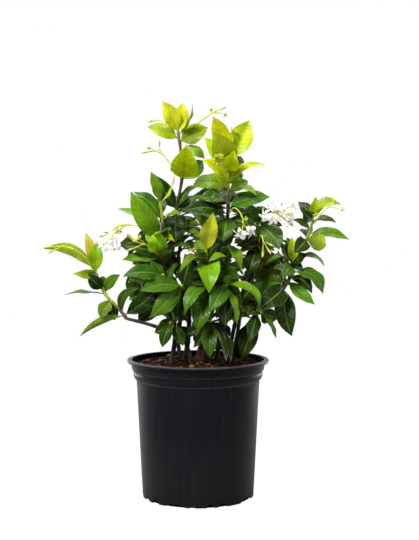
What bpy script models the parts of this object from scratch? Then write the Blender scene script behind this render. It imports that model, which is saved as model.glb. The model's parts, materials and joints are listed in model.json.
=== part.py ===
"""A star jasmine in a black nursery pot.

Metres, +Z up, with the origin at the centre of the pot's underside. The front faces -Y.
The plan of the plant is in millimetres: woody stems stand in the soil, leafy shoots grow on from
them, and sprays of flowers and buds grow from the shoots. Leaves that the front view shows are
placed by their tips, the rest by a rule, and each is bent clear of what is already there.
"""

import math
import random
from dataclasses import dataclass, replace
from enum import Enum

import bmesh
import bpy
import numpy as np
from mathutils import Matrix, Vector
from mathutils.bvhtree import BVHTree

MM = 0.001
GAP = 0.3

# Pot, in millimetres
POT_HEIGHT = 207.0
LIP_RADIUS = 106.6
BAND_RADIUS = 100.2
BAND_FOOT = 188.0
BEAD_RADIUS = 97.6
NECK = 1.4
BODY_TOP = 171.0
BODY_TOP_RADIUS = 92.4
FOOT_RADIUS = 84.0
WALL = 2.0
LIP_WALL = 2.4
FLOOR = 6.0
POT_STEPS = 28
NOTCH_REACH = 3.0
FOOT_NOTCHES = ((12.0, 6.0, 5.5), (28.0, 6.0, 5.5), (-26.0, 32.0, 4.0))

# Soil, in millimetres
SOIL_EDGE = 194.0
SOIL_CROWN = 199.0
SOIL_BUMP = 1.3
SOIL_RINGS = (0.0, 0.32, 0.58, 0.8, 1.0)
BROAD_WAVE = (0.19, 0.17, 0.7)
FINE_WAVE = (0.41, 0.37, 0.6)

# The front view that the plan is drawn in: where the eye stands, in millimetres
EYE_DISTANCE = 1701.0
EYE_HEIGHT = 431.0

# Leaves, in millimetres and as shares
ROOT_WIDTH = 1.5
ROOT_THICKNESS = 0.9
RIB_THICKNESS = 1.3
FINE_WIDTH = 28.0
FOLD_WIDTH = 18.0
FOLD = 0.16
FINE_STATIONS = ((0.30, 0.84), (0.57, 1.0), (0.82, 0.60))
PLAIN_STATIONS = ((0.34, 0.95), (0.70, 0.86))
CLEARANCE = 0.45
SHOOT_CLEARANCE = 0.2
ROOT_SINK = 0.25

# How a leaf is bent clear: shifts of its tip in depth in millimetres, and turns in degrees
DEPTH_SHIFTS = (8, -8, 16, -16, 25, -25, 35, -35, 46, -46)
TURNS = (6, -6, 12, -12, 18, -18)
TURNED_SHIFTS = (0, 18, -18, 34, -34)
CONE_TILTS = (14, 28, 42)
CONE_STEPS = 8

# Flowers, in millimetres
PEDUNCLE_RADIUS = 1.1
STALK_RADIUS = 0.85
PETALS = 5
PETAL_THICKNESS = 1.3
BUD_SIDES = 4
FIRST_RUN = 2.5
SPRAY_SHIFTS = (0, 5, -5, 10, -10, 15, -15, 20, -20, 26, -26)

# Growth by rule, in millimetres, where the crown is the dense middle as the front view shows it
SEED = 7
CROWN_CENTRE = (14.0, 345.0)
CROWN_REACH = (122.0, 88.0)
SHOOT_RADIUS = 2.3
TIP_RADIUS = 1.9
STUB_RADIUS = 2.3
STUB_REACH = 6.5
FIRST_PIECE = 4.0
STEP = 24.0
STEM_STEP = 29.0
HEADING_REACH = 3.0
WELD = 1e-6
HOLE_EASE = 0.36

# Leaves by rule: the least and the most of their lean along the shoot, length, rise, width and arch
LEAN = (0.35, 0.75)
LENGTH_SHARE = (0.8, 1.12)
RISE = (-0.25, 0.2)
WIDTH_SHARE = (0.38, 0.46)
ARCH_SHARE = (0.06, 0.14)
UPPER_SPREAD = (0.006, 0.008)

# Shoots round the back, by the stem that bears them: the height at which each leaves it, or 0 at its
# end, then its bearing in degrees, its reach and its rise
BACK_SHOOTS = (
    ("back_left", ((262.0, 195, 70.0, 34.0), (0.0, 160, 62.0, 66.0), (302.0, 128, 70.0, 34.0))),
    ("back", ((262.0, 112, 70.0, 34.0), (0.0, 85, 62.0, 66.0), (302.0, 62, 70.0, 34.0))),
    ("back_right", ((262.0, 55, 70.0, 34.0), (0.0, 28, 62.0, 66.0), (302.0, 0, 70.0, 34.0))),
)
BACK_SHARES = (0.35, 0.7, 1.0)
BACK_SWAY = 4.0
BACK_FILL = (0.2, 0.42, 0.62, 0.8, 0.97)
BACK_LEAF = 56.0

# Short shoots within the crown: the stem that bears each, the height at which it leaves it, and its end
# across, up and deep in the front view
INNER_SHOOTS = (
    ("stem_left_leader", 262.0, (-46, 278, 22)), ("stem_left_leader", 325.0, (-66, 362, 26)),
    ("stem_right_leader", 262.0, (60, 282, -38)), ("stem_right_leader", 318.0, (38, 372, 40)),
    ("stem_right_back", 280.0, (96, 300, 26)), ("stem_right_back", 322.0, (106, 362, 34)),
    ("stem_left", 280.0, (-66, 292, -10)), ("stem_centre", 278.0, (-8, 326, 30)),
    ("stem_left_leader", 348.0, (-20, 408, 22)), ("stem_right_back", 350.0, (66, 404, 12)),
    ("stem_left", 322.0, (-84, 350, -14)),
)
INNER_RISE = 4.0
INNER_FILL = (0.35, 0.65, 0.96)
INNER_LEAF = 54.0


class Face(Enum):
    """Which way the upper side of a leaf looks."""

    FRONT = (0.0, -1.0, 0.15)
    FRONT_SKY = (0.0, -0.8, 0.6)
    SKY_FRONT = (0.0, -0.35, 0.9)
    SKY = (0.0, 0.0, 1.0)
    FRONT_LEFT = (-0.7, -0.7, 0.1)
    FRONT_RIGHT = (0.7, -0.7, 0.1)
    LEFT = (-1.0, 0.0, 0.2)
    RIGHT = (1.0, 0.0, 0.2)
    BACK = (0.0, 1.0, 0.3)


class Tone(Enum):
    """The colour of a leaf by its age, as linear RGB."""

    DARK = (0.012, 0.045, 0.008)
    MATURE = (0.03, 0.10, 0.01)
    MID = (0.06, 0.20, 0.01)
    LIME = (0.30, 0.45, 0.01)
    YELLOW = (0.60, 0.62, 0.02)
    OCHRE = (0.42, 0.30, 0.02)


@dataclass(frozen=True)
class Leaf:
    """A leaf that the front view shows: where it leaves its shoot, as a share of the shoot's length,
    its tip across and up in the front view, the depth of the tip, its width, the way it faces, how
    far it arches as a share of its length, and its tone."""

    at: float
    tip: tuple
    depth: float
    width: float
    face: Face
    arch: float
    tone: Tone


@dataclass(frozen=True)
class Stem:
    """A woody stem from the soil, through points across, up and deep in the front view."""

    name: str
    points: tuple
    foot_radius: float
    tip_radius: float


@dataclass(frozen=True)
class Shoot:
    """A leafy shoot. It carries on from the end of its stem, or leaves it at a height. fill says
    where leaves grow by rule, and split where its young top begins, which has a colour of its own."""

    name: str
    carrier: str
    points: tuple
    leaves: tuple = ()
    height: float = 0.0
    fill: tuple = ()
    fill_length: float = 52.0
    split: float = 0.0


class Kind(Enum):
    """What a stalk carries, with its length and its radius in millimetres."""

    BLOOM = (8.0, 9.5)
    CALYX = (4.5, 3.4)
    BUD = (11.0, 2.1)

    @property
    def outline(self):
        """How near the notches between the petals are, as a share of the radius, and how far round
        from one notch to the next the point of a petal is."""
        return (0.38, 0.60) if self is Kind.BLOOM else (0.42, 0.5)


@dataclass(frozen=True)
class Head:
    """A flower, calyx or bud: where its stalk leaves the peduncle, as a share of the peduncle's
    length, its middle across and up in the front view, its depth, and the way it looks."""

    at: float
    tip: tuple
    depth: float
    kind: Kind
    face: tuple = (0.0, -1.0, 0.2)


@dataclass(frozen=True)
class Spray:
    """A peduncle from a shoot through points of the front view, with its flowers and buds."""

    name: str
    carrier: str
    at: float
    points: tuple
    heads: tuple


@dataclass
class Blade:
    """A leaf in space: its root, tip, upper side, width, arch and tone, and whether it is one that the
    front view shows, with a fold along its rib, or one by rule, with a flat upper side."""

    root: Vector
    tip: Vector
    upper: Vector
    width: float
    arch: float
    tone: Tone
    folded: bool = True


def seen(across, up, depth):
    """Where a point at a depth lies, when the front view shows it there on the plane of the axis."""
    nearness = 1.0 + depth / EYE_DISTANCE
    return Vector((across * nearness, depth, EYE_HEIGHT + (up - EYE_HEIGHT) * nearness))


def shown(point):
    """Where the front view shows a point."""
    nearness = 1.0 + point.y / EYE_DISTANCE
    return point.x / nearness, EYE_HEIGHT + (point.z - EYE_HEIGHT) / nearness


def smooth(points, steps=6):
    """A Catmull-Rom curve through the points."""
    ends = [points[0] * 2 - points[1], *points, points[-1] * 2 - points[-2]]
    curve = []
    for a, b, c, d in zip(ends, ends[1:], ends[2:], ends[3:]):
        for step in range(steps):
            t = step / steps
            curve.append(
                (b * 2 + (c - a) * t + (a * 2 - b * 5 + c * 4 - d) * t**2
                 + (b * 3 - a - c * 3 + d) * t**3) / 2
            )
    curve.append(points[-1].copy())
    return curve


class Path:
    """A line in space that can be read by its length."""

    def __init__(self, points):
        self.points = points
        self.marks = [0.0]
        for a, b in zip(points, points[1:]):
            self.marks.append(self.marks[-1] + (b - a).length)
        self.length = self.marks[-1]

    def at(self, distance):
        """The point so far along."""
        distance = min(max(distance, 0.0), self.length)
        for a, b, start, end in zip(self.points, self.points[1:], self.marks, self.marks[1:]):
            if distance <= end:
                return a.lerp(b, (distance - start) / max(end - start, 1e-6))
        return self.points[-1].copy()

    def heading(self, distance):
        """The direction of growth so far along."""
        return (self.at(distance + HEADING_REACH) - self.at(distance - HEADING_REACH)).normalized()

    def cut(self, start, end, step=STEP):
        """The piece from one distance to another, in even steps."""
        count = max(2, round((end - start) / step))
        return Path([self.at(start + (end - start) * i / count) for i in range(count + 1)])

    def part(self, start, end):
        """The piece from one distance to another, with the path's own points."""
        inner = [point for point, mark in zip(self.points, self.marks) if start < mark < end]
        return Path([self.at(start), *inner, self.at(end)])

    def height_mark(self, height):
        """How far along the path first rises to a height."""
        for a, b, start, end in zip(self.points, self.points[1:], self.marks, self.marks[1:]):
            if a.z < height <= b.z:
                return start + (end - start) * (height - a.z) / (b.z - a.z)
        return self.length


def tube_shape(path, start_radius, end_radius, sides=6):
    """The vertices and triangles of a closed tube along a path."""
    vertices, faces = [], []
    across = path.heading(0.0).orthogonal().normalized()
    for point, mark in zip(path.points, path.marks):
        heading = path.heading(mark)
        across = (across - heading * across.dot(heading)).normalized()
        other = heading.cross(across)
        radius = start_radius + (end_radius - start_radius) * mark / path.length
        for side in range(sides):
            angle = math.tau * side / sides
            vertices.append(point + (across * math.cos(angle) + other * math.sin(angle)) * radius)
    for row in range(len(path.points) - 1):
        for side in range(sides):
            a, b = row * sides + side, row * sides + (side + 1) % sides
            faces += [(a, b, b + sides), (a, b + sides, a + sides)]
    last = len(vertices) - sides
    for side in range(1, sides - 1):
        faces += [(0, side + 1, side), (last, last + side, last + side + 1)]
    return vertices, faces


def blade_frame(blade, share):
    """The middle line of a blade at a share of its length, with its across and upper directions."""
    run = blade.tip - blade.root
    upper = (blade.upper - run * blade.upper.dot(run) / run.length_squared).normalized()
    bow = (blade.root + blade.tip) / 2 + upper * (2 * blade.arch * run.length)
    point = blade.root * (1 - share) ** 2 + bow * (2 * share * (1 - share)) + blade.tip * share**2
    along = ((bow - blade.root) * (1 - share) + (blade.tip - bow) * share).normalized()
    upper = (upper - along * upper.dot(along)).normalized()
    return point, along.cross(upper), upper


def blade_shape(blade, grown=0.0, outer=False):
    """The vertices and triangles of a blade: a lens from its narrow root to its point.

    grown makes it that much bigger all round, and outer leaves out its root.
    """
    stations = FINE_STATIONS if blade.folded and blade.width >= FINE_WIDTH else PLAIN_STATIONS
    rows = [] if outer else [(0.0, ROOT_WIDTH / 2 + grown, ROOT_THICKNESS / 2 + grown)]
    for share, wide in stations:
        rows.append((share, wide * blade.width / 2 + grown, RIB_THICKNESS / 2 + grown))
    vertices = []
    for share, half, thick in rows:
        point, across, upper = blade_frame(blade, share)
        lift = upper * (FOLD * half if share > 0.0 else 0.0)
        vertices += [point - across * half + lift, point - upper * thick, point + across * half + lift]
        if blade.folded:
            vertices.append(point + upper * thick)
    end, _, _ = blade_frame(blade, 1.0)
    before, _, _ = blade_frame(blade, 0.95)
    vertices.append(end + (end - before).normalized() * grown)
    sides = 4 if blade.folded else 3
    faces = []
    for row in range(len(rows) - 1):
        here, there = row * sides, row * sides + sides
        for side in range(sides):
            a, b = here + side, here + (side + 1) % sides
            c, d = there + side, there + (side + 1) % sides
            faces += [(a, c, d), (a, d, b)] if side in (1, 2) else [(a, c, b), (b, c, d)]
    last, tip = (len(rows) - 1) * sides, len(vertices) - 1
    for side in range(sides):
        faces.append((last + side, tip, last + (side + 1) % sides))
    faces.append((0, 1, 2))
    if blade.folded:
        faces.append((0, 2, 3))
    return vertices, faces


class Thicket:
    """What is already in place, and the test that a new piece is clear of it."""

    def __init__(self):
        self.trees, self.owners, self.lows, self.highs = [], [], [], []

    def add(self, owner, vertices, faces):
        """Keep a placed piece."""
        self.trees.append(BVHTree.FromPolygons(vertices, faces))
        self.owners.append(owner)
        box = np.array([tuple(v) for v in vertices])
        self.lows.append(box.min(axis=0))
        self.highs.append(box.max(axis=0))

    def crossed(self, vertices, faces, owner=None, own=False):
        """Whether a shape crosses a piece of any other owner, or only of its own."""
        box = np.array([tuple(v) for v in vertices])
        low, high = box.min(axis=0), box.max(axis=0)
        near = np.all((np.array(self.lows) <= high) & (np.array(self.highs) >= low), axis=1)
        tree = None
        for index in np.nonzero(near)[0]:
            if (self.owners[index] == owner) != own:
                continue
            tree = tree or BVHTree.FromPolygons(vertices, faces)
            if tree.overlap(self.trees[index]):
                return True
        return False


def fits(blade, owner, thicket):
    """Whether a blade is clear of all other pieces, and its outer part of its own shoot."""
    if thicket.crossed(*blade_shape(blade, CLEARANCE), owner):
        return False
    return not thicket.crossed(*blade_shape(blade, CLEARANCE, outer=True), owner, own=True)


def depth_bends(blade):
    """A blade as planned, then with its tip nearer or further but in the same place in the front
    view, then turned a little about its root."""
    yield blade
    across, up = shown(blade.tip)
    for shift in DEPTH_SHIFTS:
        yield replace(blade, tip=seen(across, up, blade.tip.y + shift))
    for turn in TURNS:
        for shift in TURNED_SHIFTS:
            run = seen(across, up, blade.tip.y + shift) - blade.root
            run.rotate(Matrix.Rotation(math.radians(turn), 3, "Y"))
            yield replace(blade, tip=blade.root + run)


def cone_bends(blade, heading):
    """A blade as planned, then turned about its root by more and more."""
    yield blade
    for tilt in CONE_TILTS:
        for step in range(CONE_STEPS):
            run = blade.tip - blade.root
            axis = run.cross(heading).normalized()
            run.rotate(Matrix.Rotation(math.radians(tilt), 3, axis))
            around = (blade.tip - blade.root).normalized()
            run.rotate(Matrix.Rotation(math.tau * step / CONE_STEPS, 3, around))
            yield replace(blade, tip=blade.root + run)


def in_crown(point):
    """Whether the front view shows a point within the dense crown."""
    across, up = shown(point)
    right = (across - CROWN_CENTRE[0]) / CROWN_REACH[0]
    high = (up - CROWN_CENTRE[1]) / CROWN_REACH[1]
    return right**2 + high**2 <= 1.0


STEMS = (
    Stem("stem_left", ((-41, 186, -18), (-40, 200, -18), (-36, 224, -20), (-33, 244, -22), (-27, 263, -24),
                       (-26, 281, -26), (-30, 300, -29), (-38, 320, -33), (-48, 341, -38)), 3.9, 2.4),
    Stem("stem_centre", ((-2, 184, -20), (0, 200, -20), (4, 221, -19), (10, 239, -18), (15, 259, -17),
                         (18, 281, -16), (17, 304, -15), (15, 326, -14)), 6.2, 3.6),
    Stem("stem_left_leader", ((-20, 188, 14), (-19, 206, 13), (-14, 250, 9), (-15, 296, 2), (-27, 333, -4),
                              (-39, 371, -9)), 4.2, 2.5),
    Stem("stem_right_leader", ((26, 188, 14), (27, 204, 13), (33, 236, 11), (35, 266, 9), (29, 303, 6),
                               (24, 333, 2), (27, 353, -3)), 4.4, 2.6),
    Stem("stem_far_left", ((-9, 186, -38), (-10, 202, -38), (-18, 231, -39), (-33, 245, -41), (-50, 251, -44),
                           (-62, 256, -46), (-75, 260, -46), (-90, 260, -44), (-104, 267, -40)), 3.0, 2.3),
    Stem("stem_right", ((52, 184, -16), (53, 200, -16), (60, 228, -18), (75, 258, -20), (99, 288, -22),
                        (122, 307, -23)), 3.9, 2.5),
    Stem("stem_right_back", ((45, 188, 24), (46, 206, 23), (52, 243, 19), (63, 288, 12), (80, 333, 2),
                             (88, 362, -6)), 3.6, 2.4),
    Stem("stem_back_left", ((-26, 190, 38), (-27, 208, 40), (-34, 250, 50), (-44, 292, 58), (-50, 330, 60)),
         3.6, 2.4),
    Stem("stem_back", ((6, 190, 44), (6, 208, 46), (4, 255, 58), (2, 300, 68), (4, 345, 72)), 3.8, 2.4),
    Stem("stem_back_right", ((52, 190, 44), (53, 208, 47), (60, 250, 60), (66, 290, 68), (68, 322, 70)),
         3.4, 2.4),
)

F, FS, SF, S = Face.FRONT, Face.FRONT_SKY, Face.SKY_FRONT, Face.SKY
FL, FR, LF, RT, BK = Face.FRONT_LEFT, Face.FRONT_RIGHT, Face.LEFT, Face.RIGHT, Face.BACK
DARK, MATURE, MID = Tone.DARK, Tone.MATURE, Tone.MID
LIME, YELLOW, OCHRE = Tone.LIME, Tone.YELLOW, Tone.OCHRE

FRONT_SHOOTS = (
    Shoot("shoot_left_leader", "stem_left_leader",
          ((-34, 423, -14), (-30, 446, -17), (-24, 479, -21), (-26, 521, -24), (-30, 549, -26)), (
        Leaf(0.985, (-52, 594), -40, 24, F, 0.06, YELLOW),
        Leaf(0.985, (-22, 591), -30, 24, F, 0.06, YELLOW),
        Leaf(0.96, (-7, 587), -52, 13, RT, 0.05, LIME),
        Leaf(0.93, (-76, 556), -34, 20, FS, 0.06, MID),
        Leaf(0.91, (15, 556), -46, 30, F, 0.10, MATURE),
        Leaf(0.84, (12, 509), -34, 20, FS, 0.16, MATURE),
        Leaf(0.60, (-19, 528), -58, 40, F, 0.05, LIME),
        Leaf(0.59, (9, 506), -4, 24, F, 0.08, DARK),
        Leaf(0.34, (-64, 484), -32, 24, F, 0.06, DARK),
        Leaf(0.33, (4, 470), -12, 20, SF, 0.18, MATURE),
        Leaf(0.30, (-32, 380), -62, 36, F, 0.14, DARK),
        Leaf(0.31, (8, 412), -52, 22, S, 0.16, MID),
        Leaf(0.93, (-24, 557), 26, 20, S, 0.12, MID),
        Leaf(0.62, (-28, 505), 32, 24, S, 0.14, MATURE),
        Leaf(0.35, (-38, 452), 34, 24, S, 0.14, MATURE),
        Leaf(0.32, (-14, 440), 38, 24, S, 0.12, DARK),
    ), fill=(0.06, 0.14, 0.22), split=0.95),
    Shoot("shoot_mid_left", "stem_left",
          ((-60, 366, -50), (-55, 384, -56), (-53, 413, -62), (-57, 444, -66)), (
        Leaf(0.98, (-70, 489), -76, 20, FR, 0.06, MID),
        Leaf(0.97, (-34, 486), -80, 12, RT, 0.06, LIME),
        Leaf(0.72, (-98, 459), -58, 24, SF, 0.16, MATURE),
        Leaf(0.45, (-104, 458), -96, 34, F, 0.08, MID),
        Leaf(0.66, (-121, 434), -44, 14, S, 0.06, MATURE),
        Leaf(0.26, (-72, 400), -106, 32, F, 0.18, LIME),
        Leaf(0.25, (-118, 378), -66, 24, FS, 0.10, DARK),
        Leaf(0.20, (-114, 356), -72, 20, FS, 0.08, MID),
        Leaf(0.12, (-97, 347), -50, 20, FS, 0.08, DARK),
        Leaf(0.14, (-40, 373), -92, 24, SF, 0.12, DARK),
        Leaf(0.80, (-62, 448), -12, 20, S, 0.14, MATURE),
    ), fill=(0.05, 0.32, 0.5)),
    Shoot("shoot_low_left", "stem_left", ((-42, 312, -52), (-53, 334, -76)), (
        Leaf(0.95, (-114, 334), -96, 28, FS, 0.10, MATURE),
        Leaf(0.55, (-109, 337), -40, 24, FS, 0.06, DARK),
        Leaf(0.60, (-60, 300), -84, 24, F, 0.10, DARK),
    ), height=300.0),
    Shoot("shoot_heart_left", "stem_left_leader", ((-19, 310, -34), (-25, 318, -66)), (
        Leaf(0.97, (-88, 311), -100, 27, FS, 0.10, MID),
        Leaf(0.95, (-72, 268), -104, 27, F, 0.06, MID),
        Leaf(0.88, (-12, 359), -70, 24, F, 0.05, DARK),
        Leaf(0.60, (-33, 268), -62, 24, F, 0.06, DARK),
    ), height=296.0),
    Shoot("shoot_far_left", "stem_far_left",
          ((-114, 278, -36), (-123, 287, -33), (-131, 297, -31), (-139, 304, -29), (-146, 318, -27),
           (-151, 330, -25), (-155, 341, -23)), (
        Leaf(0.09, (-178, 240), -44, 13, SF, 0.12, MATURE),
        Leaf(0.13, (-86, 314), -66, 22, LF, 0.24, MATURE),
        Leaf(0.10, (-60, 308), -14, 26, F, 0.06, DARK),
        Leaf(0.42, (-146, 267), -58, 22, FL, 0.10, MID),
        Leaf(0.57, (-201, 305), -40, 24, FS, 0.08, MATURE),
        Leaf(0.66, (-166, 335), -50, 20, F, 0.08, DARK),
        Leaf(0.62, (-146, 334), 4, 20, F, 0.06, DARK),
        Leaf(0.60, (-117, 334), -40, 18, LF, 0.08, MATURE),
        Leaf(0.98, (-231, 374), -34, 24, SF, 0.20, LIME),
        Leaf(0.97, (-169, 398), -12, 17, FR, 0.05, OCHRE),
        Leaf(0.95, (-151, 384), -48, 21, F, 0.08, MATURE),
        Leaf(0.93, (-188, 335), -60, 16, F, 0.14, LIME),
        Leaf(0.94, (-160, 362), 22, 18, S, 0.12, MID),
        Leaf(0.58, (-134, 318), 28, 20, S, 0.14, DARK),
    )),
    Shoot("shoot_centre", "stem_centre", ((14, 336, -26), (13, 344, -38), (12, 370, -58)), (
        Leaf(0.98, (24, 427), -76, 25, F, 0.05, YELLOW),
        Leaf(0.96, (-16, 369), -72, 14, S, 0.10, OCHRE),
        Leaf(0.90, (-4, 386), -42, 18, F, 0.06, MID),
        Leaf(0.55, (-31, 341), -88, 20, SF, 0.22, MID),
        Leaf(0.50, (18, 306), -104, 34, F, 0.26, LIME),
        Leaf(0.45, (67, 330), -50, 26, FS, 0.10, MATURE),
        Leaf(0.60, (42, 363), -80, 15, FS, 0.10, MID),
    )),
    Shoot("shoot_low_centre", "stem_centre", ((15, 308, -46), (14, 317, -72)), (
        Leaf(0.96, (-20, 275), -104, 24, SF, 0.22, MID),
        Leaf(0.75, (0, 247), -96, 30, F, 0.08, MATURE),
        Leaf(0.60, (-14, 290), -56, 26, F, 0.08, DARK),
    ), height=298.0),
    Shoot("shoot_low_right", "stem_right_leader", ((36, 311, -28), (43, 319, -64)), (
        Leaf(0.97, (17, 277), -98, 25, F, 0.14, MID),
        Leaf(0.95, (101, 287), -92, 20, SF, 0.18, MID),
        Leaf(0.88, (59, 259), -90, 16, FR, 0.08, MID),
        Leaf(0.75, (36, 258), -66, 24, BK, 0.08, MATURE),
    ), height=300.0),
    Shoot("shoot_right_leader", "stem_right_leader",
          ((30, 371, -14), (38, 389, -25), (42, 404, -33), (45, 427, -41), (45, 450, -46), (45, 467, -49),
           (46, 488, -51), (45, 509, -53)), (
        Leaf(0.985, (24, 572), -66, 23, F, 0.05, YELLOW),
        Leaf(0.985, (78, 565), -66, 29, F, 0.06, LIME),
        Leaf(0.93, (24, 549), -88, 28, F, 0.08, LIME),
        Leaf(0.88, (54, 520), -82, 21, F, 0.06, LIME),
        Leaf(0.84, (57, 527), -100, 9, RT, 0.04, OCHRE),
        Leaf(0.85, (65, 512), -44, 18, F, 0.06, MATURE),
        Leaf(0.76, (101, 500), -62, 18, SF, 0.20, LIME),
        Leaf(0.76, (7, 506), -78, 18, SF, 0.10, LIME),
        Leaf(0.72, (-9, 476), -64, 26, SF, 0.18, MID),
        Leaf(0.74, (23, 487), -82, 10, F, 0.06, LIME),
        Leaf(0.70, (75, 475), -24, 18, F, 0.08, MID),
        Leaf(0.69, (92, 456), -76, 20, SF, 0.14, MID),
        Leaf(0.58, (108, 452), -62, 27, FS, 0.08, MID),
        Leaf(0.59, (0, 452), -70, 26, FS, 0.10, MATURE),
        Leaf(0.50, (-26, 430), -76, 28, FS, 0.14, DARK),
        Leaf(0.48, (37, 384), -88, 31, F, 0.08, MATURE),
        Leaf(0.46, (90, 405), -62, 26, FS, 0.08, DARK),
        Leaf(0.14, (66, 337), -66, 20, S, 0.26, MID),
        Leaf(0.97, (52, 545), -12, 20, S, 0.12, MID),
        Leaf(0.85, (40, 522), 0, 20, S, 0.12, MID),
        Leaf(0.72, (52, 492), 6, 24, S, 0.14, MATURE),
        Leaf(0.59, (38, 462), 12, 24, S, 0.14, MATURE),
        Leaf(0.57, (62, 458), 12, 24, S, 0.12, DARK),
    ), fill=(0.08, 0.18, 0.28, 0.38), split=0.73),
    Shoot("shoot_right_back", "stem_right_back", ((90, 379, -12), (89, 414, -22)), (
        Leaf(0.97, (67, 442), -42, 24, F, 0.06, MATURE),
        Leaf(0.97, (111, 433), -36, 20, F, 0.06, DARK),
        Leaf(0.88, (123, 372), -60, 27, FR, 0.08, MATURE),
        Leaf(0.55, (66, 375), -58, 24, FS, 0.08, DARK),
        Leaf(0.30, (75, 333), -42, 24, FS, 0.08, DARK),
    ), fill=(0.15, 0.4, 0.65, 0.9)),
    Shoot("shoot_far_right", "stem_right",
          ((128, 312, -24), (139, 330, -25), (141, 350, -25), (153, 371, -24), (165, 390, -22),
           (169, 404, -20), (172, 419, -18)), (
        Leaf(0.985, (176, 451), -38, 17, F, 0.05, LIME),
        Leaf(0.96, (149, 443), -24, 18, SF, 0.18, DARK),
        Leaf(0.97, (156, 430), -52, 19, F, 0.08, DARK),
        Leaf(0.985, (216, 440), -26, 14, S, 0.24, LIME),
        Leaf(0.95, (208, 412), -38, 17, SF, 0.20, DARK),
        Leaf(0.86, (142, 417), -28, 10, SF, 0.10, MATURE),
        Leaf(0.80, (227, 386), -34, 18, SF, 0.12, MID),
        Leaf(0.72, (193, 378), -44, 28, BK, 0.08, LIME),
        Leaf(0.73, (145, 368), -56, 23, F, 0.08, DARK),
        Leaf(0.40, (141, 391), -52, 12, F, 0.04, LIME),
        Leaf(0.41, (155, 394), -46, 9, FL, 0.05, YELLOW),
        Leaf(0.37, (133, 392), 0, 16, F, 0.05, DARK),
        Leaf(0.37, (165, 364), -48, 13, SF, 0.08, DARK),
        Leaf(0.42, (193, 348), -34, 16, S, 0.24, MID),
        Leaf(0.38, (103, 353), -60, 18, SF, 0.20, MID),
        Leaf(0.35, (127, 331), -74, 22, F, 0.12, MID),
        Leaf(0.29, (192, 305), -50, 25, SF, 0.22, MID),
        Leaf(0.21, (172, 305), -42, 14, SF, 0.20, DARK),
        Leaf(0.17, (176, 288), -50, 19, F, 0.10, LIME),
        Leaf(0.10, (88, 280), -78, 33, F, 0.10, DARK),
        Leaf(0.09, (141, 239), -56, 24, FL, 0.08, DARK),
        Leaf(0.15, (98, 322), -10, 24, F, 0.06, MATURE),
        Leaf(0.96, (180, 436), 22, 16, S, 0.12, MATURE),
        Leaf(0.74, (160, 402), 26, 20, S, 0.12, DARK),
        Leaf(0.38, (150, 372), 24, 20, S, 0.12, DARK),
    ), fill=(0.05, 0.2)),
    Shoot("shoot_right_foot", "stem_right", ((88, 274, -40), (96, 278, -56)), (
        Leaf(0.95, (118, 237), -70, 11, FR, 0.10, MATURE),
        Leaf(0.80, (110, 268), -40, 24, F, 0.06, MATURE),
        Leaf(0.60, (77, 232), -76, 25, F, 0.08, MATURE),
    ), height=262.0),
    Shoot("shoot_centre_foot", "stem_centre", ((16, 262, -36), (18, 264, -60)), (
        Leaf(0.95, (19, 207), -84, 22, F, 0.06, MATURE),
        Leaf(0.80, (-7, 223), -62, 16, F, 0.06, DARK),
        Leaf(0.60, (44, 214), -48, 22, F, 0.06, DARK),
    ), height=252.0),
    Shoot("shoot_left_foot", "stem_left", ((-36, 256, -36), (-42, 262, -52)), (
        Leaf(0.95, (-55, 224), -62, 22, F, 0.12, MATURE),
        Leaf(0.80, (-66, 246), -40, 15, F, 0.08, DARK),
        Leaf(0.70, (-46, 250), -64, 9, F, 0.12, OCHRE),
        Leaf(0.60, (-22, 226), -46, 18, F, 0.08, MATURE),
    ), height=240.0),
)


def back_shoots():
    """The shoots that fan out round the back."""
    rng = random.Random(SEED)
    shoots = []
    for side, rows in BACK_SHOOTS:
        stem = STEM_PATHS["stem_" + side]
        for letter, (height, bearing, reach, rise) in zip("abc", rows):
            start = stem.at(stem.height_mark(height)) if height else stem.points[-1]
            angle = math.radians(bearing)
            points = []
            for share in BACK_SHARES:
                out = reach * share
                point = start + Vector((math.cos(angle) * out, math.sin(angle) * out, rise * share**0.8))
                point.x += rng.uniform(-BACK_SWAY, BACK_SWAY)
                points.append((*shown(point), point.y))
            name = f"shoot_{side}_{letter}"
            shoots.append(Shoot(name, "stem_" + side, tuple(points), (), height, BACK_FILL, BACK_LEAF))
    return shoots


def inner_shoots():
    """The short shoots that fill the crown."""
    shoots = []
    for letter, (carrier, height, end) in zip("abcdefghijk", INNER_SHOOTS):
        stem = STEM_PATHS[carrier]
        start = stem.at(stem.height_mark(height))
        across, up = shown(start)
        middle = ((across + end[0]) / 2, (up + end[1]) / 2 + INNER_RISE, (start.y + end[2]) / 2)
        name = f"shoot_inner_{letter}"
        shoots.append(Shoot(name, carrier, (middle, end), (), height, INNER_FILL, INNER_LEAF))
    return shoots


def stem_path(stem):
    """The path of a stem through its points of the front view, in even steps."""
    whole = Path(smooth([seen(*point) for point in stem.points]))
    return whole.cut(0.0, whole.length, STEM_STEP)


STEM_PATHS = {stem.name: stem_path(stem) for stem in STEMS}
STEM_SIZES = {stem.name: (stem.foot_radius, stem.tip_radius) for stem in STEMS}
SHOOTS = (*FRONT_SHOOTS, *back_shoots(), *inner_shoots())


def stem_radius(name, mark):
    """The radius of a woody stem so far along."""
    foot, tip = STEM_SIZES[name]
    return foot + (tip - foot) * mark / STEM_PATHS[name].length


def last_run(path):
    """The direction of the last straight piece of a path."""
    return (path.points[-1] - path.points[-2]).normalized()


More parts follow.
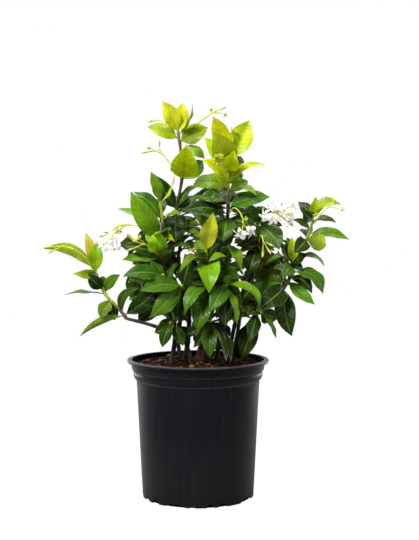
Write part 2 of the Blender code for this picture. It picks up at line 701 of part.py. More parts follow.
def shoot_paths(shoot):
    """The path of a shoot, and of the woody stub that it grows from, if it leaves its stem sideways.

    Its first piece is in line with the piece that it grows from, so their ends meet face to face.
    """
    stem = STEM_PATHS[shoot.carrier]
    tail = [seen(*point) for point in shoot.points]
    if shoot.height:
        mark = stem.height_mark(shoot.height)
        whole = Path(smooth([stem.at(mark), *tail]))
        clear = stem_radius(shoot.carrier, mark) + STUB_REACH
        stub = whole.cut(0.0, clear, clear)
        end, run = stub.points[-1], last_run(stub)
    else:
        end, run = stem.points[-1], last_run(stem)
        whole = Path(smooth([end, end + run * FIRST_PIECE, *tail]))
        clear = 0.0
        stub = None
    rest = whole.cut(clear + 2 * FIRST_PIECE, whole.length)
    return Path([end + run * GAP, end + run * FIRST_PIECE, *rest.points]), stub


def shoot_nodes(shoot, path):
    """The pieces of a shoot, each with its name and where it starts and ends: one, or a lower part
    and a young top with a gap between them."""
    if not shoot.split:
        return [(shoot.name, 0.0, path.length)]
    mark = shoot.split * path.length
    return [(shoot.name, 0.0, mark - GAP / 2), (shoot.name + "_top", mark + GAP / 2, path.length)]


def shoot_radius(path, mark):
    """The radius of a shoot so far along."""
    return SHOOT_RADIUS + (TIP_RADIUS - SHOOT_RADIUS) * mark / path.length


def leaf_node(shoot, share):
    """The piece of a shoot that bears a leaf."""
    return shoot.name + "_top" if shoot.split and share > shoot.split else shoot.name


def planned_blade(shoot, path, leaf):
    """A leaf of the front view as a blade in space."""
    distance = leaf.at * path.length
    middle = path.at(distance)
    tip = seen(*leaf.tip, leaf.depth)
    root = middle + (tip - middle).normalized() * (ROOT_SINK * TIP_RADIUS)
    folded = leaf.width >= FOLD_WIDTH
    return Blade(root, tip, Vector(leaf.face.value), leaf.width, leaf.arch, leaf.tone, folded)


def rule_blades(shoot, path, rng):
    """Opposite pairs of leaves by rule, each pair a quarter turn on from the last."""
    quarter = rng.uniform(0, math.pi)
    for node, share in enumerate(shoot.fill):
        distance = share * path.length
        middle, heading = path.at(distance), path.heading(distance)
        across = heading.orthogonal().normalized()
        across.rotate(Matrix.Rotation(quarter + node * math.pi / 2, 3, heading))
        for side in (1, -1):
            lean = rng.uniform(*LEAN)
            length = shoot.fill_length * rng.uniform(*LENGTH_SHARE)
            away = (across * side + heading * lean + Vector((0, 0, rng.uniform(*RISE)))).normalized()
            root = middle + away * (ROOT_SINK * TIP_RADIUS)
            outward = Vector((middle.x * UPPER_SPREAD[0], middle.y * UPPER_SPREAD[1], 1.0))
            tone = rng.choice((DARK, DARK, MATURE, MATURE, MID))
            width = length * rng.uniform(*WIDTH_SHARE)
            arch = rng.uniform(*ARCH_SHARE)
            yield Blade(root, middle + away * length, outward, width, arch, tone, folded=False), distance


BLOOM, CALYX, BUD = Kind.BLOOM, Kind.CALYX, Kind.BUD

SPRAYS = (
    Spray("spray_leader_fork", "shoot_left_leader", 0.66,
          ((-34, 489, -40), (-40, 497, -44), (-49, 510, -44), (-58, 522, -42)), (
        Head(0.98, (-58, 537), -42, BUD),
        Head(0.96, (-86, 516), -40, BUD),
        Head(0.80, (-76, 524), -46, CALYX, (-1, 0, 0.2)),
    )),
    Spray("spray_leader_bud", "shoot_left_leader", 0.94, ((-40, 548, -12), (-50, 562, -8), (-62, 565, -8)), (
        Head(0.98, (-76, 562), -8, BUD),
    )),
    Spray("spray_leader_arch", "shoot_left_leader", 0.90,
          ((-17, 540, -8), (0, 560, -4), (16, 572, -6), (28, 579, -8)), (
        Head(0.98, (43, 585), -8, BUD),
        Head(0.92, (42, 571), -12, CALYX, (0.6, -0.4, -0.6)),
        Head(0.72, (19, 583), 4, CALYX, (-0.3, -0.2, 1)),
    )),
    Spray("spray_calyces", "shoot_right_leader", 0.80, ((41, 490, -66), (36, 498, -84), (32, 503, -98)), (
        Head(0.98, (26, 514), -106, CALYX, (-0.2, -0.7, 0.7)),
        Head(0.97, (35, 513), -106, CALYX, (0.4, -0.7, 0.6)),
        Head(0.95, (22, 506), -106, CALYX, (-0.8, -0.6, 0.2)),
        Head(0.93, (29, 499), -108, CALYX, (-0.1, -0.9, -0.4)),
        Head(0.60, (38, 505), -98, CALYX, (0.8, -0.5, 0.4)),
    )),
    Spray("spray_leader_tip", "shoot_right_leader", 0.95, ((53, 518, -60), (52, 532, -64)), (
        Head(0.98, (50, 556), -68, BUD),
        Head(0.90, (58, 549), -62, CALYX, (0.5, -0.3, 0.8)),
    )),
    Spray("spray_left", "shoot_mid_left", 0.36,
          ((-64, 398, -56), (-76, 403, -54), (-90, 407, -52), (-105, 409, -52), (-120, 408, -54)), (
        Head(0.99, (-150, 391), -62, BLOOM, (-0.9, -0.6, -0.1)),
        Head(0.98, (-141, 379), -72, BLOOM, (-0.4, -0.9, -0.3)),
        Head(0.96, (-129, 388), -84, BLOOM, (0.2, -1.0, 0.1)),
        Head(0.99, (-143, 403), -52, BLOOM, (-0.6, -0.4, 0.8)),
        Head(0.97, (-126, 372), -56, BLOOM, (0.3, -0.4, -1.0)),
        Head(0.90, (-124, 392), -30, BLOOM, (0.2, 0.9, 0.2)),
        Head(0.80, (-118, 397), -66, CALYX, (0.0, -0.7, -0.7)),
    )),
    Spray("spray_mid_buds", "shoot_mid_left", 0.28, ((-68, 371, -70), (-76, 378, -84), (-83, 380, -92)), (
        Head(0.98, (-100, 386), -98, BUD),
        Head(0.97, (-108, 369), -102, BUD),
        Head(0.70, (-90, 391), -84, CALYX, (-0.4, -0.6, 0.7)),
    )),
    Spray("spray_pair", "shoot_right_leader", 0.52,
          ((53, 434, -58), (60, 431, -70), (66, 421, -80), (68, 411, -84)), (
        Head(0.98, (63, 395), -92, BLOOM, (-0.4, -0.7, -0.6)),
        Head(0.97, (79, 398), -90, BLOOM, (0.5, -0.8, -0.3)),
        Head(0.80, (74, 418), -88, CALYX, (0.9, -0.3, 0.2)),
    )),
    Spray("spray_right", "shoot_right_back", 0.94, ((96, 416, -30), (106, 424, -34), (116, 428, -36)), (
        Head(0.60, (100, 424), -60, BLOOM, (-0.6, -0.9, 0.1)),
        Head(0.80, (111, 417), -66, BLOOM, (-0.1, -1.0, -0.3)),
        Head(0.90, (113, 439), -56, BLOOM, (-0.4, -0.8, 0.6)),
        Head(0.98, (127, 446), -42, BLOOM, (0.1, -0.5, 1.0)),
        Head(0.99, (130, 430), -62, BLOOM, (0.2, -1.0, 0.1)),
        Head(0.99, (143, 438), -44, BLOOM, (0.9, -0.5, 0.4)),
        Head(0.98, (137, 414), -52, BLOOM, (0.7, -0.7, -0.5)),
        Head(0.97, (126, 424), -4, BLOOM, (0.2, 1.0, 0.2)),
        Head(0.95, (141, 424), -20, BLOOM, (0.9, 0.4, 0.0)),
        Head(0.95, (112, 448), -26, BUD),
        Head(0.98, (144, 406), -40, BUD),
    )),
    Spray("spray_hanging", "shoot_right_back", 0.42, ((94, 394, -36), (97, 388, -54), (98, 382, -66)), (
        Head(0.97, (97, 360), -80, BUD),
        Head(0.95, (113, 377), -84, BUD),
        Head(0.93, (110, 364), -76, BUD),
    )),
    Spray("spray_far_right", "shoot_far_right", 0.93, ((178, 416, -30), (186, 427, -40), (197, 437, -44)), (
        Head(0.98, (216, 431), -48, BLOOM, (0.8, -0.6, -0.3)),
        Head(0.50, (177, 424), -58, CALYX, (-0.2, -1.0, 0.3)),
        Head(0.90, (206, 446), -30, CALYX, (0.5, 0.2, 0.9)),
    )),
    Spray("spray_far_left", "shoot_far_left", 0.985,
          ((-163, 350, -34), (-172, 362, -44), (-186, 372, -50), (-204, 377, -52)), (
        Head(0.99, (-226, 366), -50, BUD),
        Head(0.98, (-232, 375), -54, BUD),
    )),
)


def ring(middle, axis, across, radius, sides):
    """The points of a ring round an axis."""
    other = axis.cross(across)
    turns = (math.tau * side / sides for side in range(sides))
    return [middle + (across * math.cos(turn) + other * math.sin(turn)) * radius for turn in turns]


def sleeve(start, sides):
    """The triangles between a ring of vertices and the next."""
    faces = []
    for side in range(sides):
        a, b = start + side, start + (side + 1) % sides
        faces += [(a, b, b + sides), (a, b + sides, a + sides)]
    return faces


def head_shape(kind, fork, foot, axis):
    """The vertices and triangles of a head with its stalk: a bud, or a star on a throat, whose petals
    are twisted like a pinwheel."""
    length, radius = kind.value
    sides = BUD_SIDES if kind is Kind.BUD else PETALS
    across = axis.orthogonal().normalized()
    run = (foot - fork).normalized()
    start_across = (across - run * across.dot(run)).normalized()
    vertices = ring(fork, run, start_across, STALK_RADIUS, sides)
    vertices += ring(foot, axis, across, STALK_RADIUS, sides)
    faces = [(0, side + 1, side) for side in range(1, sides - 1)] + sleeve(0, sides)
    if kind is Kind.BUD:
        vertices += ring(foot + axis * length * 0.5, axis, across, radius, sides)
        vertices.append(foot + axis * length)
        faces += sleeve(sides, sides)
        faces += [(2 * sides + side, 2 * sides + (side + 1) % sides, 3 * sides) for side in range(sides)]
        return vertices, faces
    notch, twist = kind.outline
    top = len(vertices)
    rim = foot + axis * length
    vertices += ring(rim, axis, across, notch * radius, sides)
    turned_across = across.copy()
    turned_across.rotate(Matrix.Rotation(math.tau * twist / sides, 3, axis))
    vertices += ring(rim, axis, turned_across, radius, sides)
    vertices.append(rim + axis * PETAL_THICKNESS)
    faces += sleeve(sides, sides)
    middle = len(vertices) - 1
    for side in range(sides):
        low, high, point = top + side, top + (side + 1) % sides, top + sides + side
        faces += [(low, point, middle), (point, high, middle), (low, high, point)]
    return vertices, faces


def spray_parts(spray, shoot_path, shift):
    """The path of a peduncle, and the shape of each of its heads. The spray bends back by a shift at
    its end."""
    mark = spray.at * shoot_path.length
    root, heading = shoot_path.at(mark), shoot_path.heading(mark)
    count = len(spray.points)
    tail = [seen(across, up, depth + shift * (turn + 1) / count)
            for turn, (across, up, depth) in enumerate(spray.points)]
    away = tail[0] - root
    away = (away - heading * away.dot(heading)).normalized()
    start = root + away * (shoot_radius(shoot_path, mark) + GAP)
    peduncle = Path([start, start + away * FIRST_RUN, *tail])
    heads = []
    for head in spray.heads:
        fork = peduncle.at(head.at * peduncle.length)
        middle = seen(*head.tip, head.depth + shift)
        length, _ = head.kind.value
        axis = (middle - fork if head.kind is Kind.BUD else Vector(head.face)).normalized()
        heads.append(head_shape(head.kind, fork, middle - axis * length, axis))
    return peduncle, heads


def spray_shapes(peduncle, heads):
    """The shapes of a spray: its peduncle and its heads."""
    return [tube_shape(peduncle, PEDUNCLE_RADIUS, PEDUNCLE_RADIUS, 4), *heads]


def add_sprays(thicket, paths):
    """Put each spray in place, bent back or forward until it is clear, and return their parts."""
    placed = {}
    for spray in SPRAYS:
        path, _ = paths[spray.carrier]
        for shift in SPRAY_SHIFTS:
            parts = spray_parts(spray, path, shift)
            shapes = spray_shapes(*parts)
            if not any(thicket.crossed(*shape) for shape in shapes):
                break
        else:
            raise ValueError(f"{spray.name} crosses another piece")
        placed[spray.name] = parts
        for shape in shapes:
            thicket.add(spray.name, *shape)
    return placed


def inner_wall():
    """The inside of the pot's wall, from its floor to the top of its lip."""
    return (
        (FOOT_RADIUS - WALL, FLOOR), (BODY_TOP_RADIUS - WALL, BODY_TOP),
        (BEAD_RADIUS - NECK - WALL, BAND_FOOT - 3.0), (BAND_RADIUS - WALL, POT_HEIGHT - 8.0),
        (LIP_RADIUS - LIP_WALL, POT_HEIGHT),
    )


def pot_profile():
    """The outline of the pot from the middle of its floor, up inside, over the lip and down to the
    middle of its underside."""
    lip, band, bead = LIP_RADIUS, BAND_RADIUS, BEAD_RADIUS
    outer = (
        (lip - 0.8, POT_HEIGHT - 0.4), (lip, POT_HEIGHT - 1.8), (lip, POT_HEIGHT - 3.6),
        (lip - 1.0, POT_HEIGHT - 4.8), (band + 1.8, POT_HEIGHT - 6.0), (band, POT_HEIGHT - 8.0),
        (band - 2.8, BAND_FOOT), (bead - NECK, BAND_FOOT - 1.5), (bead - NECK, BAND_FOOT - 3.0),
        (bead, BAND_FOOT - 5.0), (bead - 2.0, BODY_TOP + 5.0), (BODY_TOP_RADIUS, BODY_TOP),
        (FOOT_RADIUS, FLOOR), (FOOT_RADIUS - 0.8, 2.0), (FOOT_RADIUS - 2.5, 0.0), (0.0, 0.0),
    )
    return ((0.0, FLOOR), *inner_wall(), *outer)


def wall_radius(height):
    """The radius of the inside of the pot at a height."""
    radii, heights = zip(*inner_wall())
    return float(np.interp(height, heights, radii))


def soil_height(across, deep):
    """The height of the bumpy top of the soil."""
    share = min(1.0, math.hypot(across, deep) / wall_radius(SOIL_EDGE))
    bump = math.sin(across * BROAD_WAVE[0] + BROAD_WAVE[2]) * math.cos(deep * BROAD_WAVE[1])
    bump += FINE_WAVE[2] * math.sin(across * FINE_WAVE[0] - deep * FINE_WAVE[1])
    return SOIL_CROWN + (SOIL_EDGE - SOIL_CROWN) * share**2 + SOIL_BUMP * bump * (1.0 - share**4)


def grow():
    """Place every leaf, and return the paths of the shoots, the blades of each node, the sprays, and
    what found no room."""
    thicket = Thicket()
    for stem in STEMS:
        foot, tip = stem.foot_radius + CLEARANCE, stem.tip_radius + CLEARANCE
        thicket.add(stem.name, *tube_shape(STEM_PATHS[stem.name], foot, tip))
    paths = {}
    blades = {}
    for shoot in SHOOTS:
        path, stub = shoot_paths(shoot)
        paths[shoot.name] = (path, stub)
        for name, start, end in shoot_nodes(shoot, path):
            blades[name] = []
            radii = (shoot_radius(path, mark) + SHOOT_CLEARANCE for mark in (start, end))
            thicket.add(name, *tube_shape(path.part(start, end), *radii))
        if stub:
            radius = STUB_RADIUS + SHOOT_CLEARANCE
            thicket.add(shoot.carrier, *tube_shape(stub, radius, radius))
    sprays = add_sprays(thicket, paths)
    missed = []

    def place(shoot, share, choices):
        node = leaf_node(shoot, share)
        for blade in choices:
            if fits(blade, node, thicket):
                thicket.add(node, *blade_shape(blade))
                blades[node].append(blade)
                return
        missed.append((node, share))

    for shoot in FRONT_SHOOTS:
        path, _ = paths[shoot.name]
        for leaf in shoot.leaves:
            place(shoot, leaf.at, depth_bends(planned_blade(shoot, path, leaf)))
    rng = random.Random(SEED)
    for shoot in SHOOTS:
        path, _ = paths[shoot.name]
        for blade, distance in rule_blades(shoot, path, rng):
            choices = [bend for bend in cone_bends(blade, path.heading(distance)) if in_crown(bend.tip)]
            place(shoot, distance / path.length, choices)
    return paths, blades, sprays, missed


def material(name, colour, roughness):
    """A plain material of a colour."""
    made = bpy.data.materials.new(name)
    made.use_nodes = True
    shader = made.node_tree.nodes["Principled BSDF"]
    shader.inputs["Base Color"].default_value = (*colour, 1.0)
    shader.inputs["Roughness"].default_value = roughness
    made.diffuse_color = (*colour, 1.0)
    return made


def mesh_object(name, vertices, faces=(), edges=()):
    """An object from vertices in millimetres."""
    mesh = bpy.data.meshes.new(name)
    mesh.from_pydata([Vector(vertex) * MM for vertex in vertices], edges, faces)
    return bpy.data.objects.new(name, mesh)


def evaluated_mesh(part):
    """The mesh of an object in the scene with its modifiers or its bevel."""
    graph = bpy.context.evaluated_depsgraph_get()
    return bpy.data.meshes.new_from_object(part.evaluated_get(graph))


def welded_mesh(part):
    """The evaluated mesh of an object with the vertices that lie on each other joined."""
    mesh = evaluated_mesh(part)
    body = bmesh.new()
    body.from_mesh(mesh)
    bmesh.ops.remove_doubles(body, verts=body.verts, dist=WELD)
    body.to_mesh(mesh)
    body.free()
    return mesh


def tube(name, path, start_radius, end_radius, resolution=0):
    """A closed tube along a path: a curve with a bevel and filled caps, made a mesh."""
    curve = bpy.data.curves.new(name, "CURVE")
    curve.dimensions = "3D"
    curve.bevel_depth = MM
    curve.bevel_resolution = resolution
    curve.use_fill_caps = True
    spline = curve.splines.new("POLY")
    spline.points.add(len(path.points) - 1)
    for knot, point, mark in zip(spline.points, path.points, path.marks):
        knot.co = (*(point * MM), 1.0)
        knot.radius = start_radius + (end_radius - start_radius) * mark / path.length
    line = bpy.data.objects.new(name, curve)
    bpy.context.scene.collection.objects.link(line)
    piece = bpy.data.objects.new(name, welded_mesh(line))
    piece.matrix_world = line.matrix_world
    bpy.data.objects.remove(line)
    return piece


def fused(name, pieces, collection, finish):
    """One object from pieces that run into each other, by one union on a collection."""
    base = pieces[0]
    base.name = name
    collection.objects.link(base)
    if len(pieces) > 1:
        others = bpy.data.collections.new(name + "_pieces")
        bpy.context.scene.collection.children.link(others)
        for piece in pieces[1:]:
            others.objects.link(piece)
        union = base.modifiers.new("Union", "BOOLEAN")
        union.operation = "UNION"
        union.operand_type = "COLLECTION"
        union.collection = others
        union.solver = "MANIFOLD"
        base.data = evaluated_mesh(base)
        base.modifiers.remove(union)
        for piece in pieces[1:]:
            bpy.data.objects.remove(piece)
        bpy.data.collections.remove(others)
    base.data.materials.clear()
    base.data.materials.append(finish)
    return base


def make_cutter(cutters, piece):
    """Keep a piece as a cutter."""
    piece.hide_render = True
    piece.display_type = "WIRE"
    cutters.objects.link(piece)


def turned(name, profile, collection, finish):
    """A body turned about Z from a profile of radii and heights, which runs down its outer side."""
    edges = [(i, i + 1) for i in range(len(profile) - 1)]
    part = mesh_object(name, [(radius, 0.0, height) for radius, height in profile], (), edges)
    collection.objects.link(part)
    screw = part.modifiers.new("Screw", "SCREW")
    screw.steps = screw.render_steps = POT_STEPS
    screw.use_merge_vertices = True
    screw.merge_threshold = WELD
    part.data = welded_mesh(part)
    part.modifiers.clear()
    part.data.materials.append(finish)
    return part


def cut_by(part, cutters):
    """Cut an object by all that is in a collection."""
    cut = part.modifiers.new("Cut", "BOOLEAN")
    cut.operation = "DIFFERENCE"
    cut.operand_type = "COLLECTION"
    cut.collection = cutters


def make_pot(collection, finish):
    """The turned pot with the notches under its foot."""
    pot = turned("pot", pot_profile(), collection, finish)
    notches = bpy.data.collections.new("Foot notches")
    bpy.context.scene.collection.children.link(notches)
    for quarter in range(4):
        for bearing, width, height in FOOT_NOTCHES:
            angle = math.radians(bearing + 90 * quarter)
            body = bmesh.new()
            bmesh.ops.create_cube(body, size=1.0)
            place = Matrix.Rotation(angle, 4, "Z") @ Matrix.Translation((0, -FOOT_RADIUS * MM, 0))
            size = Matrix.Diagonal((width * MM, 2 * NOTCH_REACH * MM, 2 * height * MM, 1))
            bmesh.ops.transform(body, matrix=place @ size, verts=body.verts)
            notch = mesh_object(f"notch_{quarter}_{bearing:.0f}", ())
            body.to_mesh(notch.data)
            body.free()
            make_cutter(notches, notch)
    cut_by(pot, notches)


def make_soil(collection, finish):
    """The soil: it fills the pot, its top is bumpy, and each stem has a hole in it."""
    reach = wall_radius(SOIL_EDGE) - GAP
    rings = [(reach * share, SOIL_EDGE) for share in SOIL_RINGS]
    side = [(radius - GAP, height) for radius, height in reversed(inner_wall()) if height < SOIL_EDGE]
    side[-1] = (side[-1][0], FLOOR + GAP)
    side.append((0.0, FLOOR + GAP))
    soil = turned("soil", rings + side, collection, finish)
    for vertex in soil.data.vertices:
        if vertex.co.z > (SOIL_EDGE - 1.0) * MM:
            vertex.co.z = soil_height(vertex.co.x / MM, vertex.co.y / MM) * MM
    holes = bpy.data.collections.new("Stem holes")
    bpy.context.scene.collection.children.link(holes)
    for stem in STEMS:
        foot, above = STEM_PATHS[stem.name].points[:2]
        run = (above - foot).normalized()
        hole = Path([foot - run * GAP, above])
        radius = stem.foot_radius + HOLE_EASE
        make_cutter(holes, tube(stem.name + "_hole", hole, radius, radius, 1))
    cut_by(soil, holes)


def make_stems(paths, collection, finish):
    """The woody stems, each with the stubs that its side shoots grow from."""
    for stem in STEMS:
        pieces = [tube(stem.name, STEM_PATHS[stem.name], stem.foot_radius, stem.tip_radius, 1)]
        for shoot in SHOOTS:
            _, stub = paths[shoot.name]
            if stub and shoot.carrier == stem.name:
                pieces.append(tube("stub", stub, STUB_RADIUS, STUB_RADIUS))
        fused(stem.name, pieces, collection, finish)


def main_tone(blades):
    """The tone that most of the blades have."""
    tones = [blade.tone for blade in blades]
    return max(Tone, key=tones.count)


def make_shoots(paths, blades, collection, finishes):
    """The leafy shoots, each fused with its leaves."""
    for shoot in SHOOTS:
        path, _ = paths[shoot.name]
        for name, start, end in shoot_nodes(shoot, path):
            pieces = [tube(name, path.part(start, end), shoot_radius(path, start), shoot_radius(path, end))]
            pieces += [mesh_object("leaf", *blade_shape(blade)) for blade in blades[name]]
            fused(name, pieces, collection, finishes[main_tone(blades[name])])


def make_sprays(sprays, collection, white, green):
    """The sprays, each fused with its flowers and buds."""
    for spray in SPRAYS:
        peduncle, heads = sprays[spray.name]
        pieces = [tube(spray.name, peduncle, PEDUNCLE_RADIUS, PEDUNCLE_RADIUS)]
        pieces += [mesh_object("head", *head) for head in heads]
        blooms = any(head.kind is Kind.BLOOM for head in spray.heads)
        fused(spray.name, pieces, collection, white if blooms else green)


def main():
    """Build the plant in its pot."""
    for old in list(bpy.data.objects):
        bpy.data.objects.remove(old)
    collection = bpy.data.collections.new("Potted star jasmine")
    bpy.context.scene.collection.children.link(collection)
    paths, blades, sprays, _ = grow()
    make_stems(paths, collection, material("Bark", (0.10, 0.055, 0.04), 0.8))
    finishes = {tone: material(f"{tone.name.capitalize()} leaf", tone.value, 0.4) for tone in Tone}
    make_shoots(paths, blades, collection, finishes)
    white = material("White flowers", (0.85, 0.86, 0.80), 0.5)
    make_sprays(sprays, collection, white, material("Yellow-green buds", (0.55, 0.55, 0.06), 0.5))
    make_pot(collection, material("Black pot", (0.009, 0.009, 0.011), 0.42))
    make_soil(collection, material("Soil", (0.06, 0.028, 0.014), 0.95))


main()
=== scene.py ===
"""The looks of a star jasmine in a black nursery pot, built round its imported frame.

Metres, +Z up, with the origin at the centre of the pot's underside. The front faces -Y. The plan of the
plant is in millimetres and is the frame's own: woody stems stand in the soil, leafy shoots grow on from
them, and sprays of flowers and buds grow from the shoots. Each leaf, stalk, flower, bud and chip of bark
is modelled once as a blank, and copies of it are laid along the plan.
"""

from __future__ import annotations

import json
import logging
import math
import random
from collections.abc import Callable, Iterator, Sequence
from dataclasses import dataclass, field, replace
from enum import Enum
from functools import reduce

import bpy
import numpy as np
from mathutils import Matrix, Vector, noise
from mathutils.bvhtree import BVHTree

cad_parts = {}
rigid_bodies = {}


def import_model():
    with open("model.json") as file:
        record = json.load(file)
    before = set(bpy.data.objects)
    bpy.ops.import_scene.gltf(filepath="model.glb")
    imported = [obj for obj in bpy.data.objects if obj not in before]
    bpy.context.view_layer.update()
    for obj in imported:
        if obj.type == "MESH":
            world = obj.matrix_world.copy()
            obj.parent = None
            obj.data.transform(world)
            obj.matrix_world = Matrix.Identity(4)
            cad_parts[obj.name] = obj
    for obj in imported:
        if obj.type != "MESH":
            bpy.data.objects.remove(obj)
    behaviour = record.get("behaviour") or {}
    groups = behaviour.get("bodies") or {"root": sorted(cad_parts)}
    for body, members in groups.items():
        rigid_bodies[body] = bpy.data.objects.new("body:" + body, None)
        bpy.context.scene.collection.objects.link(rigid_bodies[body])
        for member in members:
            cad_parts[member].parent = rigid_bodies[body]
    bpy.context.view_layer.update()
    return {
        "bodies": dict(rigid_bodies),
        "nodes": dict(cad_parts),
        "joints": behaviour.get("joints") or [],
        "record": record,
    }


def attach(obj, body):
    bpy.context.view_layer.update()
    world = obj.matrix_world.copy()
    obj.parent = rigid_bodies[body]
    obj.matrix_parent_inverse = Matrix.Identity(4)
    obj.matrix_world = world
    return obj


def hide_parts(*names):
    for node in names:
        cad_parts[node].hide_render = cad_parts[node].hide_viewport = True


LOG = logging.getLogger("star_jasmine")
MM = 0.001
NEAR = 0.0001
Shape = tuple[list[Vector], list[tuple[int, ...]]]


class Face(Enum):
    """Which way the upper side of a leaf looks."""

    FRONT = (0.0, -1.0, 0.15)
    FRONT_SKY = (0.0, -0.8, 0.6)
    SKY_FRONT = (0.0, -0.35, 0.9)
    SKY = (0.0, 0.0, 1.0)
    FRONT_LEFT = (-0.7, -0.7, 0.1)
    FRONT_RIGHT = (0.7, -0.7, 0.1)
    LEFT = (-1.0, 0.0, 0.2)
    RIGHT = (1.0, 0.0, 0.2)
    BACK = (0.0, 1.0, 0.3)


class Tone(Enum):
    """The colour of a leaf by its age, as linear RGB."""

    DARK = (0.0108, 0.0300, 0.0013)
    MATURE = (0.030, 0.082, 0.0018)
    MID = (0.092, 0.212, 0.0018)
    OLIVE = (0.240, 0.320, 0.0025)
    LIME = (0.450, 0.540, 0.0030)
    YELLOW = (0.660, 0.640, 0.016)
    GOLD = (0.350, 0.420, 0.010)
    OCHRE = (0.420, 0.230, 0.012)


class Kind(Enum):
    """What a stalk carries, with its length and its radius in millimetres."""

    BLOOM = (8.0, 9.5)
    CALYX = (4.5, 3.4)
    BUD = (11.0, 2.1)

    @property
    def outline(self) -> tuple[float, float]:
        """How near the notches between the petals are, and how far round the point of a petal is."""
        return (0.38, 0.60) if self is Kind.BLOOM else (0.42, 0.5)


@dataclass(frozen=True)
class PlanSizes:
    """The sizes of the plan, in millimetres and as shares."""

    gap: float = 0.3
    eye_distance: float = 1701.0
    eye_height: float = 431.0
    root_width: float = 1.5
    root_thickness: float = 0.9
    rib_thickness: float = 1.3
    fine_width: float = 28.0
    fold_width: float = 18.0
    fold: float = 0.16
    clearance: float = 0.45
    shoot_clearance: float = 0.2
    root_sink: float = 0.25
    peduncle_radius: float = 1.1
    stalk_radius: float = 0.85
    petals: int = 5
    petal_thickness: float = 1.3
    bud_sides: int = 4
    first_run: float = 2.5
    seed: int = 7
    shoot_radius: float = 2.3
    tip_radius: float = 1.9
    stub_radius: float = 2.3
    stub_reach: float = 6.5
    first_piece: float = 4.0
    step: float = 24.0
    stem_step: float = 29.0
    heading_reach: float = 3.0
    fine_stations: tuple = ((0.30, 0.84), (0.57, 1.0), (0.82, 0.60))
    plain_stations: tuple = ((0.34, 0.95), (0.70, 0.86))
    crown_centre: tuple = (14.0, 345.0)
    crown_reach: tuple = (122.0, 88.0)
    spray_shifts: tuple = (0, 5, -5, 10, -10, 15, -15, 20, -20, 26, -26)


@dataclass(frozen=True)
class RuleSizes:
    """How leaves and shoots by rule vary, and how a leaf is bent clear of what is already there."""

    depth_shifts: tuple = (8, -8, 16, -16, 25, -25, 35, -35, 46, -46)
    turns: tuple = (6, -6, 12, -12, 18, -18)
    turned_shifts: tuple = (0, 18, -18, 34, -34)
    cone_tilts: tuple = (14, 28, 42)
    cone_steps: int = 8
    lean: tuple = (0.35, 0.75)
    length_share: tuple = (0.8, 1.12)
    rise: tuple = (-0.25, 0.2)
    width_share: tuple = (0.38, 0.46)
    arch_share: tuple = (0.06, 0.14)
    upper_spread: tuple = (0.006, 0.008)
    back_shares: tuple = (0.35, 0.7, 1.0)
    back_sway: float = 4.0
    back_fill: tuple = (0.2, 0.42, 0.62, 0.8, 0.97)
    back_leaf: float = 56.0
    inner_rise: float = 4.0
    inner_fill: tuple = (0.35, 0.65, 0.96)
    inner_leaf: float = 54.0
    more_fill: tuple = (0.1, 0.26, 0.4, 0.55, 0.74)
    more_leaf: float = 36.0


SIZES = PlanSizes()
RULE = RuleSizes()


@dataclass(frozen=True)
class Leaf:
    """A leaf that the front view shows: where it leaves its shoot, as a share of the shoot's length, its
    tip across and up in the front view, the depth of the tip, its width, the way it faces, how far it
    arches as a share of its length, and its tone. The looks may turn it, widen it, and make its tone
    lighter or darker by its shade: partly the leaf's own colour, and in good part painted light on
    leaves that the lamps leave dim and painted shade on leaves deep in the crown."""

    at: float
    tip: tuple
    depth: float
    width: float
    face: Face
    arch: float
    tone: Tone
    turned: Face | None = None
    wide: float = 1.0
    shade: float = 1.0


@dataclass(frozen=True)
class Stem:
    """A woody stem from the soil, through points across, up and deep in the front view."""

    name: str
    points: tuple
    foot_radius: float
    tip_radius: float


@dataclass(frozen=True)
class Shoot:
    """A leafy shoot. It carries on from the end of its stem, or leaves it at a height. fill says where
    leaves grow by rule, and split where its young top begins."""

    name: str
    carrier: str
    points: tuple
    leaves: tuple = ()
    height: float = 0.0
    fill: tuple = ()
    fill_length: float = 52.0
    split: float = 0.0


@dataclass(frozen=True)
class Head:
    """A flower, calyx or bud: where its stalk leaves the peduncle, as a share of the peduncle's length,
    its middle across and up in the front view, its depth, and the way it looks."""

    at: float
    tip: tuple
    depth: float
    kind: Kind
    face: tuple = (0.0, -1.0, 0.2)


@dataclass(frozen=True)
class Spray:
    """A peduncle from a shoot through points of the front view, with its flowers and buds."""

    name: str
    carrier: str
    at: float
    points: tuple
    heads: tuple


@dataclass(frozen=True)
class LaidHead:
    """A head in its place: its kind, where its stalk starts, where it starts itself, and its axis."""

    kind: Kind
    fork: Vector
    foot: Vector
    axis: Vector


def seen(across: float, up: float, depth: float) -> Vector:
    """Where a point at a depth lies, when the front view shows it there on the plane of the axis.

    Args:
        across: millimetres to the right in the front view.
        up: millimetres above the floor in the front view.
        depth: millimetres away from the viewer, from the plane of the axis.

    Returns:
        The point in space.
    """
    nearness = 1.0 + depth / SIZES.eye_distance
    return Vector((across * nearness, depth, SIZES.eye_height + (up - SIZES.eye_height) * nearness))


def shown(point: Vector) -> tuple[float, float]:
    """Where the front view shows a point.

    Args:
        point: the point in space.

    Returns:
        Its place across and up.
    """
    nearness = 1.0 + point.y / SIZES.eye_distance
    return point.x / nearness, SIZES.eye_height + (point.z - SIZES.eye_height) / nearness


def smooth(points: Sequence[Vector], steps: int = 6) -> list[Vector]:
    """A Catmull-Rom curve through points.

    Args:
        points: the points that it runs through.
        steps: how many pieces it has between two of them.

    Returns:
        The points of the curve.
    """
    ends = [points[0] * 2 - points[1], *points, points[-1] * 2 - points[-2]]
    curve = []
    for a, b, c, d in zip(ends, ends[1:], ends[2:], ends[3:]):
        for step in range(steps):
            t = step / steps
            curve.append(
                (b * 2 + (c - a) * t + (a * 2 - b * 5 + c * 4 - d) * t**2
                 + (b * 3 - a - c * 3 + d) * t**3) / 2
            )
    curve.append(points[-1].copy())
    return curve


